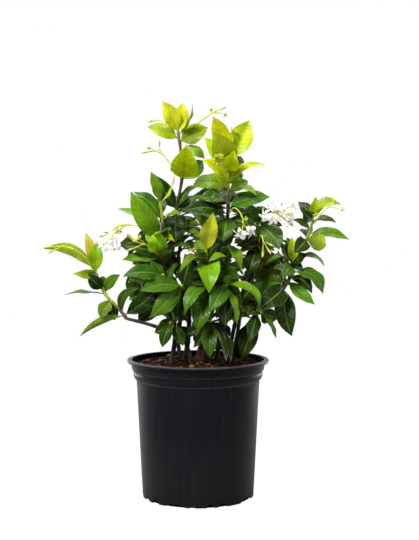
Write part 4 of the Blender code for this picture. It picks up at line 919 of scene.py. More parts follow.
SPRAYS = (
    Spray("spray_leader_fork", "shoot_left_leader", 0.66,
          ((-34, 489, -40), (-40, 497, -44), (-49, 510, -44), (-58, 522, -42)), (
        Head(0.98, (-58, 537), -42, BUD),
        Head(0.96, (-86, 516), -40, BUD),
        Head(0.80, (-76, 524), -46, CALYX, (-1, 0, 0.2)),
    )),
    Spray("spray_leader_bud", "shoot_left_leader", 0.94, ((-40, 548, -12), (-50, 562, -8), (-62, 565, -8)), (
        Head(0.98, (-76, 562), -8, BUD),
    )),
    Spray("spray_leader_arch", "shoot_left_leader", 0.90,
          ((-17, 540, -8), (0, 560, -4), (16, 572, -6), (28, 579, -8)), (
        Head(0.98, (43, 585), -8, BUD),
        Head(0.92, (42, 571), -12, CALYX, (0.6, -0.4, -0.6)),
        Head(0.72, (19, 583), 4, CALYX, (-0.3, -0.2, 1)),
    )),
    Spray("spray_calyces", "shoot_right_leader", 0.80, ((41, 490, -66), (36, 498, -84), (32, 503, -98)), (
        Head(0.98, (26, 514), -106, CALYX, (-0.2, -0.7, 0.7)),
        Head(0.97, (35, 513), -106, CALYX, (0.4, -0.7, 0.6)),
        Head(0.95, (22, 506), -106, CALYX, (-0.8, -0.6, 0.2)),
        Head(0.93, (29, 499), -108, CALYX, (-0.1, -0.9, -0.4)),
        Head(0.60, (38, 505), -98, CALYX, (0.8, -0.5, 0.4)),
    )),
    Spray("spray_leader_tip", "shoot_right_leader", 0.95, ((53, 518, -60), (52, 532, -64)), (
        Head(0.98, (50, 556), -68, BUD),
        Head(0.90, (58, 549), -62, CALYX, (0.5, -0.3, 0.8)),
    )),
    Spray("spray_left", "shoot_mid_left", 0.36,
          ((-64, 398, -56), (-76, 403, -54), (-90, 407, -52), (-105, 409, -52), (-120, 408, -54)), (
        Head(0.99, (-150, 391), -62, BLOOM, (-0.9, -0.6, -0.1)),
        Head(0.98, (-141, 379), -72, BLOOM, (-0.4, -0.9, -0.3)),
        Head(0.96, (-129, 388), -84, BLOOM, (0.2, -1.0, 0.1)),
        Head(0.99, (-143, 403), -52, BLOOM, (-0.6, -0.4, 0.8)),
        Head(0.97, (-126, 372), -56, BLOOM, (0.3, -0.4, -1.0)),
        Head(0.90, (-124, 392), -30, BLOOM, (0.2, 0.9, 0.2)),
        Head(0.80, (-118, 397), -66, CALYX, (0.0, -0.7, -0.7)),
    )),
    Spray("spray_mid_buds", "shoot_mid_left", 0.28, ((-68, 371, -70), (-76, 378, -84), (-83, 380, -92)), (
        Head(0.98, (-100, 386), -98, BUD),
        Head(0.97, (-108, 369), -102, BUD),
        Head(0.70, (-90, 391), -84, CALYX, (-0.4, -0.6, 0.7)),
    )),
    Spray("spray_pair", "shoot_right_leader", 0.52,
          ((53, 434, -58), (60, 431, -70), (66, 421, -80), (68, 411, -84)), (
        Head(0.98, (63, 395), -92, BLOOM, (-0.4, -0.7, -0.6)),
        Head(0.97, (79, 398), -90, BLOOM, (0.5, -0.8, -0.3)),
        Head(0.80, (74, 418), -88, CALYX, (0.9, -0.3, 0.2)),
    )),
    Spray("spray_right", "shoot_right_back", 0.94, ((96, 416, -30), (106, 424, -34), (116, 428, -36)), (
        Head(0.60, (100, 424), -60, BLOOM, (-0.6, -0.9, 0.1)),
        Head(0.80, (111, 417), -66, BLOOM, (-0.1, -1.0, -0.3)),
        Head(0.90, (113, 439), -56, BLOOM, (-0.4, -0.8, 0.6)),
        Head(0.98, (127, 446), -42, BLOOM, (0.1, -0.5, 1.0)),
        Head(0.99, (130, 430), -62, BLOOM, (0.2, -1.0, 0.1)),
        Head(0.99, (143, 438), -44, BLOOM, (0.9, -0.5, 0.4)),
        Head(0.98, (137, 414), -52, BLOOM, (0.7, -0.7, -0.5)),
        Head(0.97, (126, 424), -4, BLOOM, (0.2, 1.0, 0.2)),
        Head(0.95, (141, 424), -20, BLOOM, (0.9, 0.4, 0.0)),
        Head(0.95, (112, 448), -26, BUD),
        Head(0.98, (144, 406), -40, BUD),
    )),
    Spray("spray_hanging", "shoot_right_back", 0.42, ((94, 394, -36), (97, 388, -54), (98, 382, -66)), (
        Head(0.97, (97, 360), -80, BUD),
        Head(0.95, (113, 377), -84, BUD),
        Head(0.93, (110, 364), -76, BUD),
    )),
    Spray("spray_far_right", "shoot_far_right", 0.93, ((178, 416, -30), (186, 427, -40), (197, 437, -44)), (
        Head(0.98, (216, 431), -48, BLOOM, (0.8, -0.6, -0.3)),
        Head(0.50, (177, 424), -58, CALYX, (-0.2, -1.0, 0.3)),
        Head(0.90, (206, 446), -30, CALYX, (0.5, 0.2, 0.9)),
    )),
    Spray("spray_far_left", "shoot_far_left", 0.985,
          ((-163, 350, -34), (-172, 362, -44), (-186, 372, -50), (-204, 377, -52)), (
        Head(0.99, (-226, 366), -50, BUD),
        Head(0.98, (-232, 375), -54, BUD),
    )),
)

# Shoots round the back, by the stem that bears them: the height at which each leaves it, or 0 at its
# end, then its bearing in degrees, its reach and its rise
BACK_SHOOTS = (
    ("back_left", ((262.0, 195, 70.0, 34.0), (0.0, 160, 62.0, 66.0), (302.0, 128, 70.0, 34.0))),
    ("back", ((262.0, 112, 70.0, 34.0), (0.0, 85, 62.0, 66.0), (302.0, 62, 70.0, 34.0))),
    ("back_right", ((262.0, 55, 70.0, 34.0), (0.0, 28, 62.0, 66.0), (302.0, 0, 70.0, 34.0))),
)

# Short shoots within the crown: the stem that bears each, the height at which it leaves it, and its end
# across, up and deep in the front view
INNER_SHOOTS = (
    ("stem_left_leader", 262.0, (-46, 278, 22)), ("stem_left_leader", 325.0, (-66, 362, 26)),
    ("stem_right_leader", 262.0, (60, 282, -38)), ("stem_right_leader", 318.0, (38, 372, 40)),
    ("stem_right_back", 280.0, (96, 300, 26)), ("stem_right_back", 322.0, (106, 362, 34)),
    ("stem_left", 280.0, (-66, 292, -10)), ("stem_centre", 278.0, (-8, 326, 30)),
    ("stem_left_leader", 348.0, (-20, 408, 22)), ("stem_right_back", 350.0, (66, 404, 12)),
    ("stem_left", 322.0, (-84, 350, -14)),
)


def head_shape(head: LaidHead) -> Shape:
    """The frame's plain form of a head with its stalk, which the plan keeps clear of its neighbours.

    Args:
        head: the head in its place.

    Returns:
        Its vertices and triangles.
    """
    length, radius = head.kind.value
    sides = SIZES.bud_sides if head.kind is Kind.BUD else SIZES.petals
    axis, foot = head.axis, head.foot
    across = axis.orthogonal().normalized()
    run = (foot - head.fork).normalized()
    start_across = (across - run * across.dot(run)).normalized()
    vertices = ring(head.fork, run, start_across, SIZES.stalk_radius, sides)
    vertices += ring(foot, axis, across, SIZES.stalk_radius, sides)
    faces = [(0, side + 1, side) for side in range(1, sides - 1)] + sleeve(0, sides)
    if head.kind is Kind.BUD:
        vertices += ring(foot + axis * length * 0.5, axis, across, radius, sides)
        vertices.append(foot + axis * length)
        faces += sleeve(sides, sides)
        faces += [(2 * sides + side, 2 * sides + (side + 1) % sides, 3 * sides) for side in range(sides)]
        return vertices, faces
    notch, twist = head.kind.outline
    top = len(vertices)
    rim = foot + axis * length
    vertices += ring(rim, axis, across, notch * radius, sides)
    turned = across.copy()
    turned.rotate(Matrix.Rotation(math.tau * twist / sides, 3, axis))
    vertices += ring(rim, axis, turned, radius, sides)
    vertices.append(rim + axis * SIZES.petal_thickness)
    faces += sleeve(sides, sides)
    middle = len(vertices) - 1
    for side in range(sides):
        low, high, point = top + side, top + (side + 1) % sides, top + sides + side
        faces += [(low, point, middle), (point, high, middle), (low, high, point)]
    return vertices, faces


@dataclass
class GrownShoot:
    """A shoot that has grown: its line, its woody stub if it has one, and its nodes with their blades."""

    shoot: Shoot
    path: Path
    stub: Path | None
    pieces: list[tuple[str, float, float]]
    blades: dict[str, list[tuple[Blade, float]]] = field(default_factory=dict)

    def radius(self, mark: float) -> float:
        """The shoot's radius so far along."""
        return SIZES.shoot_radius + (SIZES.tip_radius - SIZES.shoot_radius) * mark / self.path.length

    def node_at(self, share: float) -> str:
        """The node that bears a leaf at a share of the length."""
        young = self.shoot.split and share > self.shoot.split
        return self.shoot.name + "_top" if young else self.shoot.name


@dataclass
class Growth:
    """The whole plan, grown: stems, shoots with their blades, and sprays with their heads."""

    stems: dict[str, Path] = field(default_factory=dict)
    shoots: list[GrownShoot] = field(default_factory=list)
    sprays: dict[str, tuple[Path, list[LaidHead]]] = field(default_factory=dict)
    thicket: Thicket = field(default_factory=Thicket)

    def grow(self) -> None:
        """Place every stem, shoot, spray and leaf."""
        for stem in STEMS:
            whole = Path(smooth([seen(*point) for point in stem.points]))
            path = whole.cut(0.0, whole.length, SIZES.stem_step)
            self.stems[stem.name] = path
            foot, tip = stem.foot_radius + SIZES.clearance, stem.tip_radius + SIZES.clearance
            self.thicket.add(stem.name, *tube_shape(path, foot, tip))
        for shoot in (*FRONT_SHOOTS, *self.back_shoots(), *self.inner_shoots()):
            self.lay_shoot(shoot)
        for spray in SPRAYS:
            self.lay_spray(spray)
        self.lay_leaves()
        self.lay_more()

    def back_shoots(self) -> list[Shoot]:
        """The shoots that fan out round the back."""
        rng = random.Random(SIZES.seed)
        shoots = []
        for side, rows in BACK_SHOOTS:
            stem = self.stems["stem_" + side]
            for letter, (height, bearing, reach, rise) in zip("abc", rows):
                start = stem.at(stem.height_mark(height)) if height else stem.points[-1]
                angle = math.radians(bearing)
                points = []
                for share in RULE.back_shares:
                    out = reach * share
                    point = start + Vector((math.cos(angle) * out, math.sin(angle) * out, rise * share**0.8))
                    point.x += rng.uniform(-RULE.back_sway, RULE.back_sway)
                    points.append((*shown(point), point.y))
                name = f"shoot_{side}_{letter}"
                shoots.append(Shoot(name, "stem_" + side, tuple(points), (), height,
                                    RULE.back_fill, RULE.back_leaf))
        return shoots

    def inner_shoots(self) -> list[Shoot]:
        """The short shoots that fill the crown."""
        shoots = []
        for letter, (carrier, height, end) in zip("abcdefghijk", INNER_SHOOTS):
            stem = self.stems[carrier]
            start = stem.at(stem.height_mark(height))
            across, up = shown(start)
            middle = ((across + end[0]) / 2, (up + end[1]) / 2 + RULE.inner_rise, (start.y + end[2]) / 2)
            shoots.append(Shoot(f"shoot_inner_{letter}", carrier, (middle, end), (), height,
                                RULE.inner_fill, RULE.inner_leaf))
        return shoots

    def stem_radius(self, name: str, mark: float) -> float:
        """The radius of a woody stem so far along.

        Args:
            name: the stem's name.
            mark: how far along.

        Returns:
            The radius.
        """
        stem = next(stem for stem in STEMS if stem.name == name)
        return stem.foot_radius + (stem.tip_radius - stem.foot_radius) * mark / self.stems[name].length

    def lay_shoot(self, shoot: Shoot) -> None:
        """Lay a shoot's line, in line with the piece that it grows from.

        Args:
            shoot: the planned shoot.
        """
        stem = self.stems[shoot.carrier]
        tail = [seen(*point) for point in shoot.points]
        if shoot.height:
            mark = stem.height_mark(shoot.height)
            whole = Path(smooth([stem.at(mark), *tail]))
            clear = self.stem_radius(shoot.carrier, mark) + SIZES.stub_reach
            stub = whole.cut(0.0, clear, clear)
            carrier = stub
        else:
            carrier, stub, clear = stem, None, 0.0
        end = carrier.points[-1]
        run = (end - carrier.points[-2]).normalized()
        if stub is None:
            whole = Path(smooth([end, end + run * SIZES.first_piece, *tail]))
        rest = whole.cut(clear + 2 * SIZES.first_piece, whole.length)
        path = Path([end + run * SIZES.gap, end + run * SIZES.first_piece, *rest.points])
        pieces = [(shoot.name, 0.0, path.length)]
        if shoot.split:
            mark = shoot.split * path.length
            pieces = [(shoot.name, 0.0, mark - SIZES.gap / 2),
                      (shoot.name + "_top", mark + SIZES.gap / 2, path.length)]
        grown = GrownShoot(shoot, path, stub, pieces, {name: [] for name, _, _ in pieces})
        self.shoots.append(grown)
        for name, start, end_mark in pieces:
            radii = (grown.radius(mark) + SIZES.shoot_clearance for mark in (start, end_mark))
            self.thicket.add(name, *tube_shape(path.part(start, end_mark), *radii))
        if stub:
            radius = SIZES.stub_radius + SIZES.shoot_clearance
            self.thicket.add(shoot.carrier, *tube_shape(stub, radius, radius))

    def lay_spray(self, spray: Spray) -> None:
        """Put a spray in place, bent back or forward until it is clear.

        Args:
            spray: the planned spray.
        """
        shoot = next(grown for grown in self.shoots if grown.shoot.name == spray.carrier)
        mark = spray.at * shoot.path.length
        root, heading = shoot.path.at(mark), shoot.path.heading(mark)
        for shift in SIZES.spray_shifts:
            count = len(spray.points)
            tail = [seen(across, up, depth + shift * (turn + 1) / count)
                    for turn, (across, up, depth) in enumerate(spray.points)]
            away = tail[0] - root
            away = (away - heading * away.dot(heading)).normalized()
            start = root + away * (shoot.radius(mark) + SIZES.gap)
            peduncle = Path([start, start + away * SIZES.first_run, *tail])
            heads = []
            for head in spray.heads:
                fork = peduncle.at(head.at * peduncle.length)
                middle = seen(*head.tip, head.depth + shift)
                axis = (middle - fork if head.kind is Kind.BUD else Vector(head.face)).normalized()
                heads.append(LaidHead(head.kind, fork, middle - axis * head.kind.value[0], axis))
            shapes = [tube_shape(peduncle, SIZES.peduncle_radius, SIZES.peduncle_radius, 4)]
            shapes += [head_shape(head) for head in heads]
            if not any(self.thicket.crossed(*shape) for shape in shapes):
                break
        self.sprays[spray.name] = (peduncle, heads)
        for shape in shapes:
            self.thicket.add(spray.name, *shape)

    def lay_leaves(self) -> None:
        """Lay the leaves that the front view shows, and then those by rule."""
        for grown in self.shoots:
            for leaf in grown.shoot.leaves:
                self.place_seen(grown, leaf)
        rng = random.Random(SIZES.seed)
        for grown in self.shoots:
            self.lay_by_rule(grown, rng)

    def lay_by_rule(self, grown: GrownShoot, rng: random.Random) -> None:
        """Lay a shoot's leaves by rule, where they are within the crown and clear.

        Args:
            grown: the shoot.
            rng: the seeded source of their differences.
        """
        for blade, distance in self.rule_blades(grown, rng):
            heading = grown.path.heading(distance)
            bends = (bend for bend in cone_bends(blade, heading) if in_crown(bend.tip))
            self.place(grown, distance / grown.path.length, bends)

    def place_seen(self, grown: GrownShoot, leaf: Leaf) -> None:
        """Lay a leaf that the front view shows.

        Args:
            grown: the shoot that bears it.
            leaf: the planned leaf.
        """
        middle = grown.path.at(leaf.at * grown.path.length)
        tip = seen(*leaf.tip, leaf.depth)
        root = middle + (tip - middle).normalized() * (SIZES.root_sink * SIZES.tip_radius)
        folded = leaf.width >= SIZES.fold_width
        blade = Blade(root, tip, Vector(leaf.face.value), leaf.width, leaf.arch, leaf.tone, folded)
        self.place(grown, leaf.at, depth_bends(blade), leaf)

    def lay_more(self) -> None:
        """Lay further leaves in what room is left, so that the crown is as dense as the real one."""
        shoots = {grown.shoot.name: grown for grown in self.shoots}
        for name, leaves in MORE_LEAVES.items():
            for leaf in leaves:
                self.place_seen(shoots[name], leaf)
        rng = random.Random(SIZES.seed + 1)
        for grown in self.shoots:
            fuller = replace(grown.shoot, fill=RULE.more_fill, fill_length=RULE.more_leaf)
            self.lay_by_rule(replace(grown, shoot=fuller), rng)

    def rule_blades(self, grown: GrownShoot, rng: random.Random) -> Iterator[tuple[Blade, float]]:
        """Opposite pairs of leaves by rule, each pair a quarter turn on from the last.

        Args:
            grown: the shoot that bears them.
            rng: the seeded source of their differences.

        Yields:
            Each blade and how far along the shoot it grows.
        """
        shoot, path = grown.shoot, grown.path
        quarter = rng.uniform(0, math.pi)
        for node, share in enumerate(shoot.fill):
            distance = share * path.length
            middle, heading = path.at(distance), path.heading(distance)
            across = heading.orthogonal().normalized()
            across.rotate(Matrix.Rotation(quarter + node * math.pi / 2, 3, heading))
            for side in (1, -1):
                lean = rng.uniform(*RULE.lean)
                length = shoot.fill_length * rng.uniform(*RULE.length_share)
                away = (across * side + heading * lean + Vector((0, 0, rng.uniform(*RULE.rise)))).normalized()
                root = middle + away * (SIZES.root_sink * SIZES.tip_radius)
                outward = Vector((middle.x * RULE.upper_spread[0], middle.y * RULE.upper_spread[1], 1.0))
                tone = rng.choice((DARK, DARK, MATURE, MATURE, MID))
                width = length * rng.uniform(*RULE.width_share)
                arch = rng.uniform(*RULE.arch_share)
                yield Blade(root, middle + away * length, outward, width, arch, tone, folded=False), distance

    def place(self, grown: GrownShoot, share: float, bends: Iterator[Blade],
              leaf: Leaf | None = None) -> None:
        """Lay the first bend of a leaf that is clear.

        Args:
            grown: the shoot that bears it.
            share: how far along the shoot it grows.
            bends: the bends of the leaf in turn.
            leaf: the planned leaf, if the front view shows it.
        """
        node = grown.node_at(share)
        for blade in bends:
            if fits(blade, node, self.thicket):
                self.thicket.add(node, *blade.shape())
                if leaf:
                    facing = Vector(leaf.turned.value) if leaf.turned else None
                    blade = replace(blade, facing=facing, width=blade.width * leaf.wide, shade=leaf.shade)
                grown.blades[node].append((blade, share * grown.path.length))
                return
        if leaf:
            LOG.info("no room for the leaf at %s", leaf.tip)


def activate(piece: bpy.types.Object) -> None:
    """Leave only a piece selected, and make it the active one.

    Args:
        piece: the piece.
    """
    bpy.ops.object.select_all(action="DESELECT")
    piece.select_set(True)
    bpy.context.view_layer.objects.active = piece


def dress(piece: bpy.types.Object, degrees: float, *finishes: bpy.types.Material) -> None:
    """Give a piece its finishes, and shade it smooth but for its edges sharper than an angle.

    Args:
        piece: the piece.
        degrees: the angle.
        finishes: the finishes, in the order of their slots.
    """
    for finish in finishes:
        piece.data.materials.append(finish)
    activate(piece)
    bpy.ops.object.shade_smooth_by_angle(angle=math.radians(degrees))


def ring_form(sides: int, rings: Sequence[tuple[float, float]], turn: float = 0.0) -> bpy.types.Object:
    """A closed body from a filled circle that is extruded and resized ring by ring.

    Args:
        sides: how many sides it has.
        rings: the radius and height of each ring, in millimetres, from the first to the last.
        turn: how far each ring is turned on from the last, in degrees.

    Returns:
        The piece, in object mode, at one unit for each millimetre.
    """
    bpy.ops.object.select_all(action="DESELECT")
    radius, height = rings[0]
    bpy.ops.mesh.primitive_circle_add(vertices=sides, radius=radius, fill_type="NGON",
                                      location=(0.0, 0.0, height))
    piece = bpy.context.object
    bpy.ops.object.transform_apply(location=True)
    bpy.ops.object.mode_set(mode="EDIT")
    bpy.ops.mesh.select_mode(type="FACE")
    bpy.ops.mesh.select_all(action="SELECT")
    for next_radius, next_height in rings[1:]:
        move = {"value": (0.0, 0.0, next_height - height)}
        bpy.ops.mesh.extrude_region_move(TRANSFORM_OT_translate=move)
        share = next_radius / radius
        bpy.ops.transform.resize(value=(share, share, 1.0))
        if turn:
            bpy.ops.transform.rotate(value=math.radians(turn), orient_axis="Z", center_override=(0, 0, 0))
        radius, height = next_radius, next_height
    bpy.ops.mesh.select_all(action="SELECT")
    bpy.ops.mesh.normals_make_consistent(inside=False)
    bpy.ops.object.mode_set(mode="OBJECT")
    return piece


def sheet(columns: int, rows: int, shape: Callable[[int, float], None]) -> bpy.types.Object:
    """A grid two units wide and long, whose rows are shaped one by one.

    Args:
        columns: how many squares it has across.
        rows: how many it has along.
        shape: shapes the selected row, from its number and its place along Y.

    Returns:
        The sheet, in edit mode with all of it selected.
    """
    bpy.ops.object.select_all(action="DESELECT")
    bpy.ops.mesh.primitive_grid_add(x_subdivisions=columns, y_subdivisions=rows, size=2.0)
    piece = bpy.context.object
    bpy.ops.object.mode_set(mode="EDIT")
    bpy.ops.mesh.select_mode(type="VERT")
    for row in range(rows + 1):
        level = 2.0 * row / rows - 1.0
        bpy.ops.mesh.select_all(action="DESELECT")
        bpy.ops.object.mode_set(mode="OBJECT")
        for vertex in piece.data.vertices:
            vertex.select = abs(vertex.co.y - level) < NEAR and abs(vertex.co.z) < NEAR
        bpy.ops.object.mode_set(mode="EDIT")
        shape(row, level)
    bpy.ops.mesh.select_all(action="SELECT")
    return piece


def skinned(piece: bpy.types.Object, thickness: float, *finishes: bpy.types.Material) -> None:
    """Take a sheet out of edit mode, and give it its finishes and its thickness.

    Args:
        piece: the sheet.
        thickness: its thickness, of which half goes to each side.
        finishes: the finish of both sides, or of the upper side and the lower.
    """
    bpy.ops.object.mode_set(mode="OBJECT")
    for finish in finishes:
        piece.data.materials.append(finish)
    skin = piece.modifiers.new("Skin", "SOLIDIFY")
    skin.thickness = thickness
    skin.offset = 0.0
    skin.material_offset = len(finishes) - 1
    bpy.ops.object.modifier_apply(modifier=skin.name)
    dress(piece, 75.0)


def joined(name: str, pieces: Sequence[bpy.types.Object]) -> bpy.types.Object:
    """Join pieces into one.

    Args:
        name: its name.
        pieces: the pieces, of which there is at least one.

    Returns:
        The one piece.
    """
    activate(pieces[0])
    for piece in pieces[1:]:
        piece.select_set(True)
    if len(pieces) > 1:
        bpy.ops.object.join()
    pieces[0].name = pieces[0].data.name = name
    return pieces[0]


def declare(node: str, slot: str, *pieces: bpy.types.Object) -> None:
    """Join the finished pieces that take the place of a node of the frame, and say so.

    Args:
        node: the frame's node.
        slot: the record's colour slot for it, which is not used.
        pieces: the pieces.
    """
    piece = joined(node + "_fine", pieces)
    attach(piece, "root")
    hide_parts(node)
    LOG.info("%s: %d faces", piece.name, len(piece.data.polygons))


def places(mesh: bpy.types.Mesh) -> np.ndarray:
    """The places of a mesh's vertices, as rows."""
    flat = np.empty(len(mesh.vertices) * 3)
    mesh.vertices.foreach_get("co", flat)
    return flat.reshape(-1, 3)


class Blank:
    """A form that is modelled once, in millimetres, and copied."""

    def __init__(self, piece: bpy.types.Object, colours: np.ndarray | None = None) -> None:
        """Take the form of a piece, which goes.

        Args:
            piece: the modelled piece.
            colours: the colour of each of its vertices, or of all, if they aren't on it yet.
        """
        self.mesh = piece.data
        self.points = places(self.mesh)
        self.tones = np.ones((len(self.points), 4))
        layer = self.mesh.color_attributes.get("tone")
        if layer:
            flat = self.tones.ravel()
            layer.data.foreach_get("color", flat)
            self.tones = flat.reshape(-1, 4)
        if colours is not None:
            self.tones[:, :3] = colours
        bpy.data.objects.remove(piece)

    def laid(self, points: np.ndarray, tones: np.ndarray, unit: float = MM) -> bpy.types.Object:
        """A copy with a mesh of its own.

        Args:
            points: where its vertices go, in millimetres.
            tones: the tone of each vertex, as rows of red, green, blue and alpha.
            unit: the length of a millimetre in the scene, or 1 for a part of another blank.

        Returns:
            The copy.
        """
        mesh = self.mesh.copy()
        mesh.vertices.foreach_set("co", (points * unit).ravel())
        layer = mesh.color_attributes.get("tone") or mesh.color_attributes.new("tone", "FLOAT_COLOR", "POINT")
        layer.data.foreach_set("color", tones.ravel())
        mesh.update()
        piece = bpy.data.objects.new("copy", mesh)
        bpy.context.scene.collection.objects.link(piece)
        return piece

    def placed(self, foot: Vector, axis: Vector, spin: float, size: float,
               shade: Sequence[float] = (1.0, 1.0, 1.0), unit: float = MM) -> bpy.types.Object:
        """A copy set down rigidly, with its own Z along an axis.

        Args:
            foot: where its origin goes, in millimetres.
            axis: where its Z points.
            spin: how far it is turned about its own Z, in radians.
            size: how much bigger it is.
            shade: what its tones are multiplied by.
            unit: the length of a millimetre in the scene, or 1 for a part of another blank.

        Returns:
            The copy.
        """
        turn = axis.to_track_quat("Z", "Y").to_matrix() @ Matrix.Rotation(spin, 3, "Z")
        points = self.points @ (np.array(turn).T * size) + np.array(foot)
        return self.laid(points, self.tones * np.array((*shade, 1.0)), unit)


class Signal:
    """An output socket, which can be reckoned with as with a number."""

    def __init__(self, graph: Graph, socket: bpy.types.NodeSocket) -> None:
        """Hold a socket and the tree that it is in."""
        self.graph, self.socket = graph, socket

    def __add__(self, other: Signal | float) -> Signal:
        """The sum of the two."""
        return self.graph.math("ADD", self, other)

    def __sub__(self, other: Signal | float) -> Signal:
        """What is left of it without the other."""
        return self.graph.math("SUBTRACT", self, other)

    def __mul__(self, other: Signal | float) -> Signal:
        """The product of the two."""
        return self.graph.math("MULTIPLY", self, other)

    def __abs__(self) -> Signal:
        """How far it is from nothing."""
        return self.graph.math("ABSOLUTE", self)

    def span(self, low: float, high: float, start: float = 0.0, end: float = 1.0) -> Signal:
        """It eased from the range low to high to the range start to end, and held to that."""
        inputs = dict(enumerate((self, low, high, start, end)))
        return self.graph.take("ShaderNodeMapRange", inputs, "Result", interpolation_type="SMOOTHSTEP")

    def scaled(self, amount: Signal) -> Signal:
        """The colour made lighter or darker."""
        return self.graph.take("ShaderNodeVectorMath", {0: self, "Scale": amount}, operation="SCALE")

    def stretched(self, *scale: float) -> Signal:
        """The place scaled along each axis."""
        return self.graph.take("ShaderNodeVectorMath", {0: self, 1: scale}, operation="MULTIPLY")

    def noise(self, scale: Signal | float, detail: float, roughness: float = 0.55) -> Signal:
        """Noise at the place, between about 0.3 and 0.7, with so many finer layers of a strength."""
        inputs = {"Vector": self, "Scale": scale, "Detail": detail, "Roughness": roughness}
        return self.graph.take("ShaderNodeTexNoise", inputs, "Fac")

    def apart(self) -> list[Signal]:
        """The three numbers of the place."""
        outputs = self.graph.node("ShaderNodeSeparateXYZ", {0: self}).outputs
        return [Signal(self.graph, socket) for socket in outputs]


class Graph:
    """A node tree that is being wired."""

    def __init__(self, tree: bpy.types.NodeTree) -> None:
        """Start on a tree."""
        self.tree = tree

    def feed(self, socket: bpy.types.NodeSocket, value: object) -> None:
        """Link an input to a signal, or set it to a constant.

        Args:
            socket: the input.
            value: a signal, a number or a tuple.
        """
        if isinstance(value, Signal):
            self.tree.links.new(value.socket, socket)
        else:
            socket.default_value = (*value, 1.0) if socket.type == "RGBA" else value

    def node(self, kind: str, inputs: dict[int | str, object], **settings: object) -> bpy.types.Node:
        """A new node.

        Args:
            kind: its type.
            inputs: what its inputs get, by number or name.
            settings: its settings by name.

        Returns:
            The node.
        """
        made = self.tree.nodes.new(kind)
        for name, value in settings.items():
            setattr(made, name, value)
        for place, value in inputs.items():
            self.feed(made.inputs[place], value)
        return made

    def take(self, kind: str, inputs: dict[int | str, object], output: int | str = 0,
             **settings: object) -> Signal:
        """One output of a new node."""
        return Signal(self, self.node(kind, inputs, **settings).outputs[output])

    def math(self, operation: str, *values: Signal | float, clamp: bool = False) -> Signal:
        """The outcome of a sum of signals and numbers, which clamp holds between 0 and 1."""
        return self.take("ShaderNodeMath", dict(enumerate(values)), operation=operation, use_clamp=clamp)

    def highest(self, *values: Signal | float) -> Signal:
        """The highest of some values."""
        return reduce(lambda one, other: self.math("MAXIMUM", one, other), values)

    def blend(self, share: Signal | float, first: object, second: object) -> Signal:
        """A mix of two colours, with a share of the second."""
        return self.take("ShaderNodeMix", {0: share, 6: first, 7: second}, 2, data_type="RGBA")

    def group(self, shared: SharedGroup, **values: object) -> dict[str, Signal]:
        """The outputs of a shared group, by name, from what its inputs get."""
        made = self.node("ShaderNodeGroup", values, node_tree=shared.tree)
        return {socket.name: Signal(self, socket) for socket in made.outputs}

    def camera_share(self) -> Signal:
        """One where the camera itself looks, and nothing for light that bounces."""
        return self.take("ShaderNodeLightPath", {}, "Is Camera Ray")


class SharedGroup:
    """A shader node group with named sockets."""

    def __init__(self, name: str, place: str, numbers: dict[str, float], outputs: Sequence[str]) -> None:
        """Make the group with its sockets, still without nodes.

        Args:
            name: its name.
            place: the name of its input for a place.
            numbers: the usual value of each other input, by name.
            outputs: the names of its outputs, which are numbers.
        """
        self.tree = bpy.data.node_groups.new(name, "ShaderNodeTree")
        sockets = self.tree.interface
        sockets.new_socket(place, in_out="INPUT", socket_type="NodeSocketVector")
        for title, usual in numbers.items():
            sockets.new_socket(title, in_out="INPUT", socket_type="NodeSocketFloat").default_value = usual
        for title in outputs:
            sockets.new_socket(title, in_out="OUTPUT", socket_type="NodeSocketFloat")
        self.graph = Graph(self.tree)
        given = self.graph.node("NodeGroupInput", {}).outputs
        self.given = [Signal(self.graph, given[title]) for title in (place, *numbers)]
        self.result = self.graph.node("NodeGroupOutput", {}).inputs

    def give(self, *values: Signal) -> SharedGroup:
        """Wire the outputs in their order."""
        for socket, value in zip(self.result, values):
            self.graph.feed(socket, value)
        return self


class Effects:
    """The effects that several finishes share."""

    def __init__(self) -> None:
        """Make the groups."""
        self.veins = self.leaf_veins()
        self.mottle = self.two_noises("Mottle", ("Broad", "Fine"), 9.0,
                                      (2.0, 0.55, 0.34, 0.66), (4.0, 0.65, 0.36, 0.64))
        self.dust = self.two_noises("Dust", ("Patches", "Specks"), 22.0,
                                    (5.0, 0.70, 0.50, 0.72), (1.0, 0.55, 0.66, 0.74))

    def leaf_veins(self) -> SharedGroup:
        """Veins from a leaf's own map: a midrib, side veins that arch to the tip, and swelling between."""
        shared = SharedGroup("Leaf veins", "Map", {"Pairs": 9.0, "Sweep": 0.16},
                             ("Midrib", "Side", "Swell", "Rim"))
        graph = shared.graph
        leaf_map, pairs, sweep = shared.given
        across, along, _ = leaf_map.apart()
        centred = across * 2.0 - 1.0
        reach = abs(centred)
        line = along - graph.math("POWER", reach, 1.25) * sweep
        phase = (line + graph.math("SIGN", centred) * 0.018) * pairs
        wave = abs(graph.math("FRACT", phase) - 0.5)
        midrib = reach.span(0.035, 0.10, 1.0, 0.0)
        side = wave.span(0.0, 0.11, 1.0, 0.0) * reach.span(0.70, 0.98, 1.0, 0.15)
        swell = wave.span(0.0, 0.5) * reach.span(0.05, 0.4)
        return shared.give(midrib, side, swell, reach.span(0.90, 0.985))

    def two_noises(self, name: str, outputs: tuple[str, str], finer: float, *fields: tuple) -> SharedGroup:
        """A group with coarse and fine noise.

        Args:
            name: its name.
            outputs: the names of the coarse noise and the fine.
            finer: how much finer the second is.
            fields: the detail, roughness and range of each noise.

        Returns:
            The group.
        """
        shared = SharedGroup(name, "Place", {"Scale": 60.0}, outputs)
        place, scale = shared.given
        made = []
        for (detail, roughness, low, high), size in zip(fields, (scale, scale * finer)):
            made.append(place.noise(size, detail, roughness).span(low, high))
        return shared.give(*made)


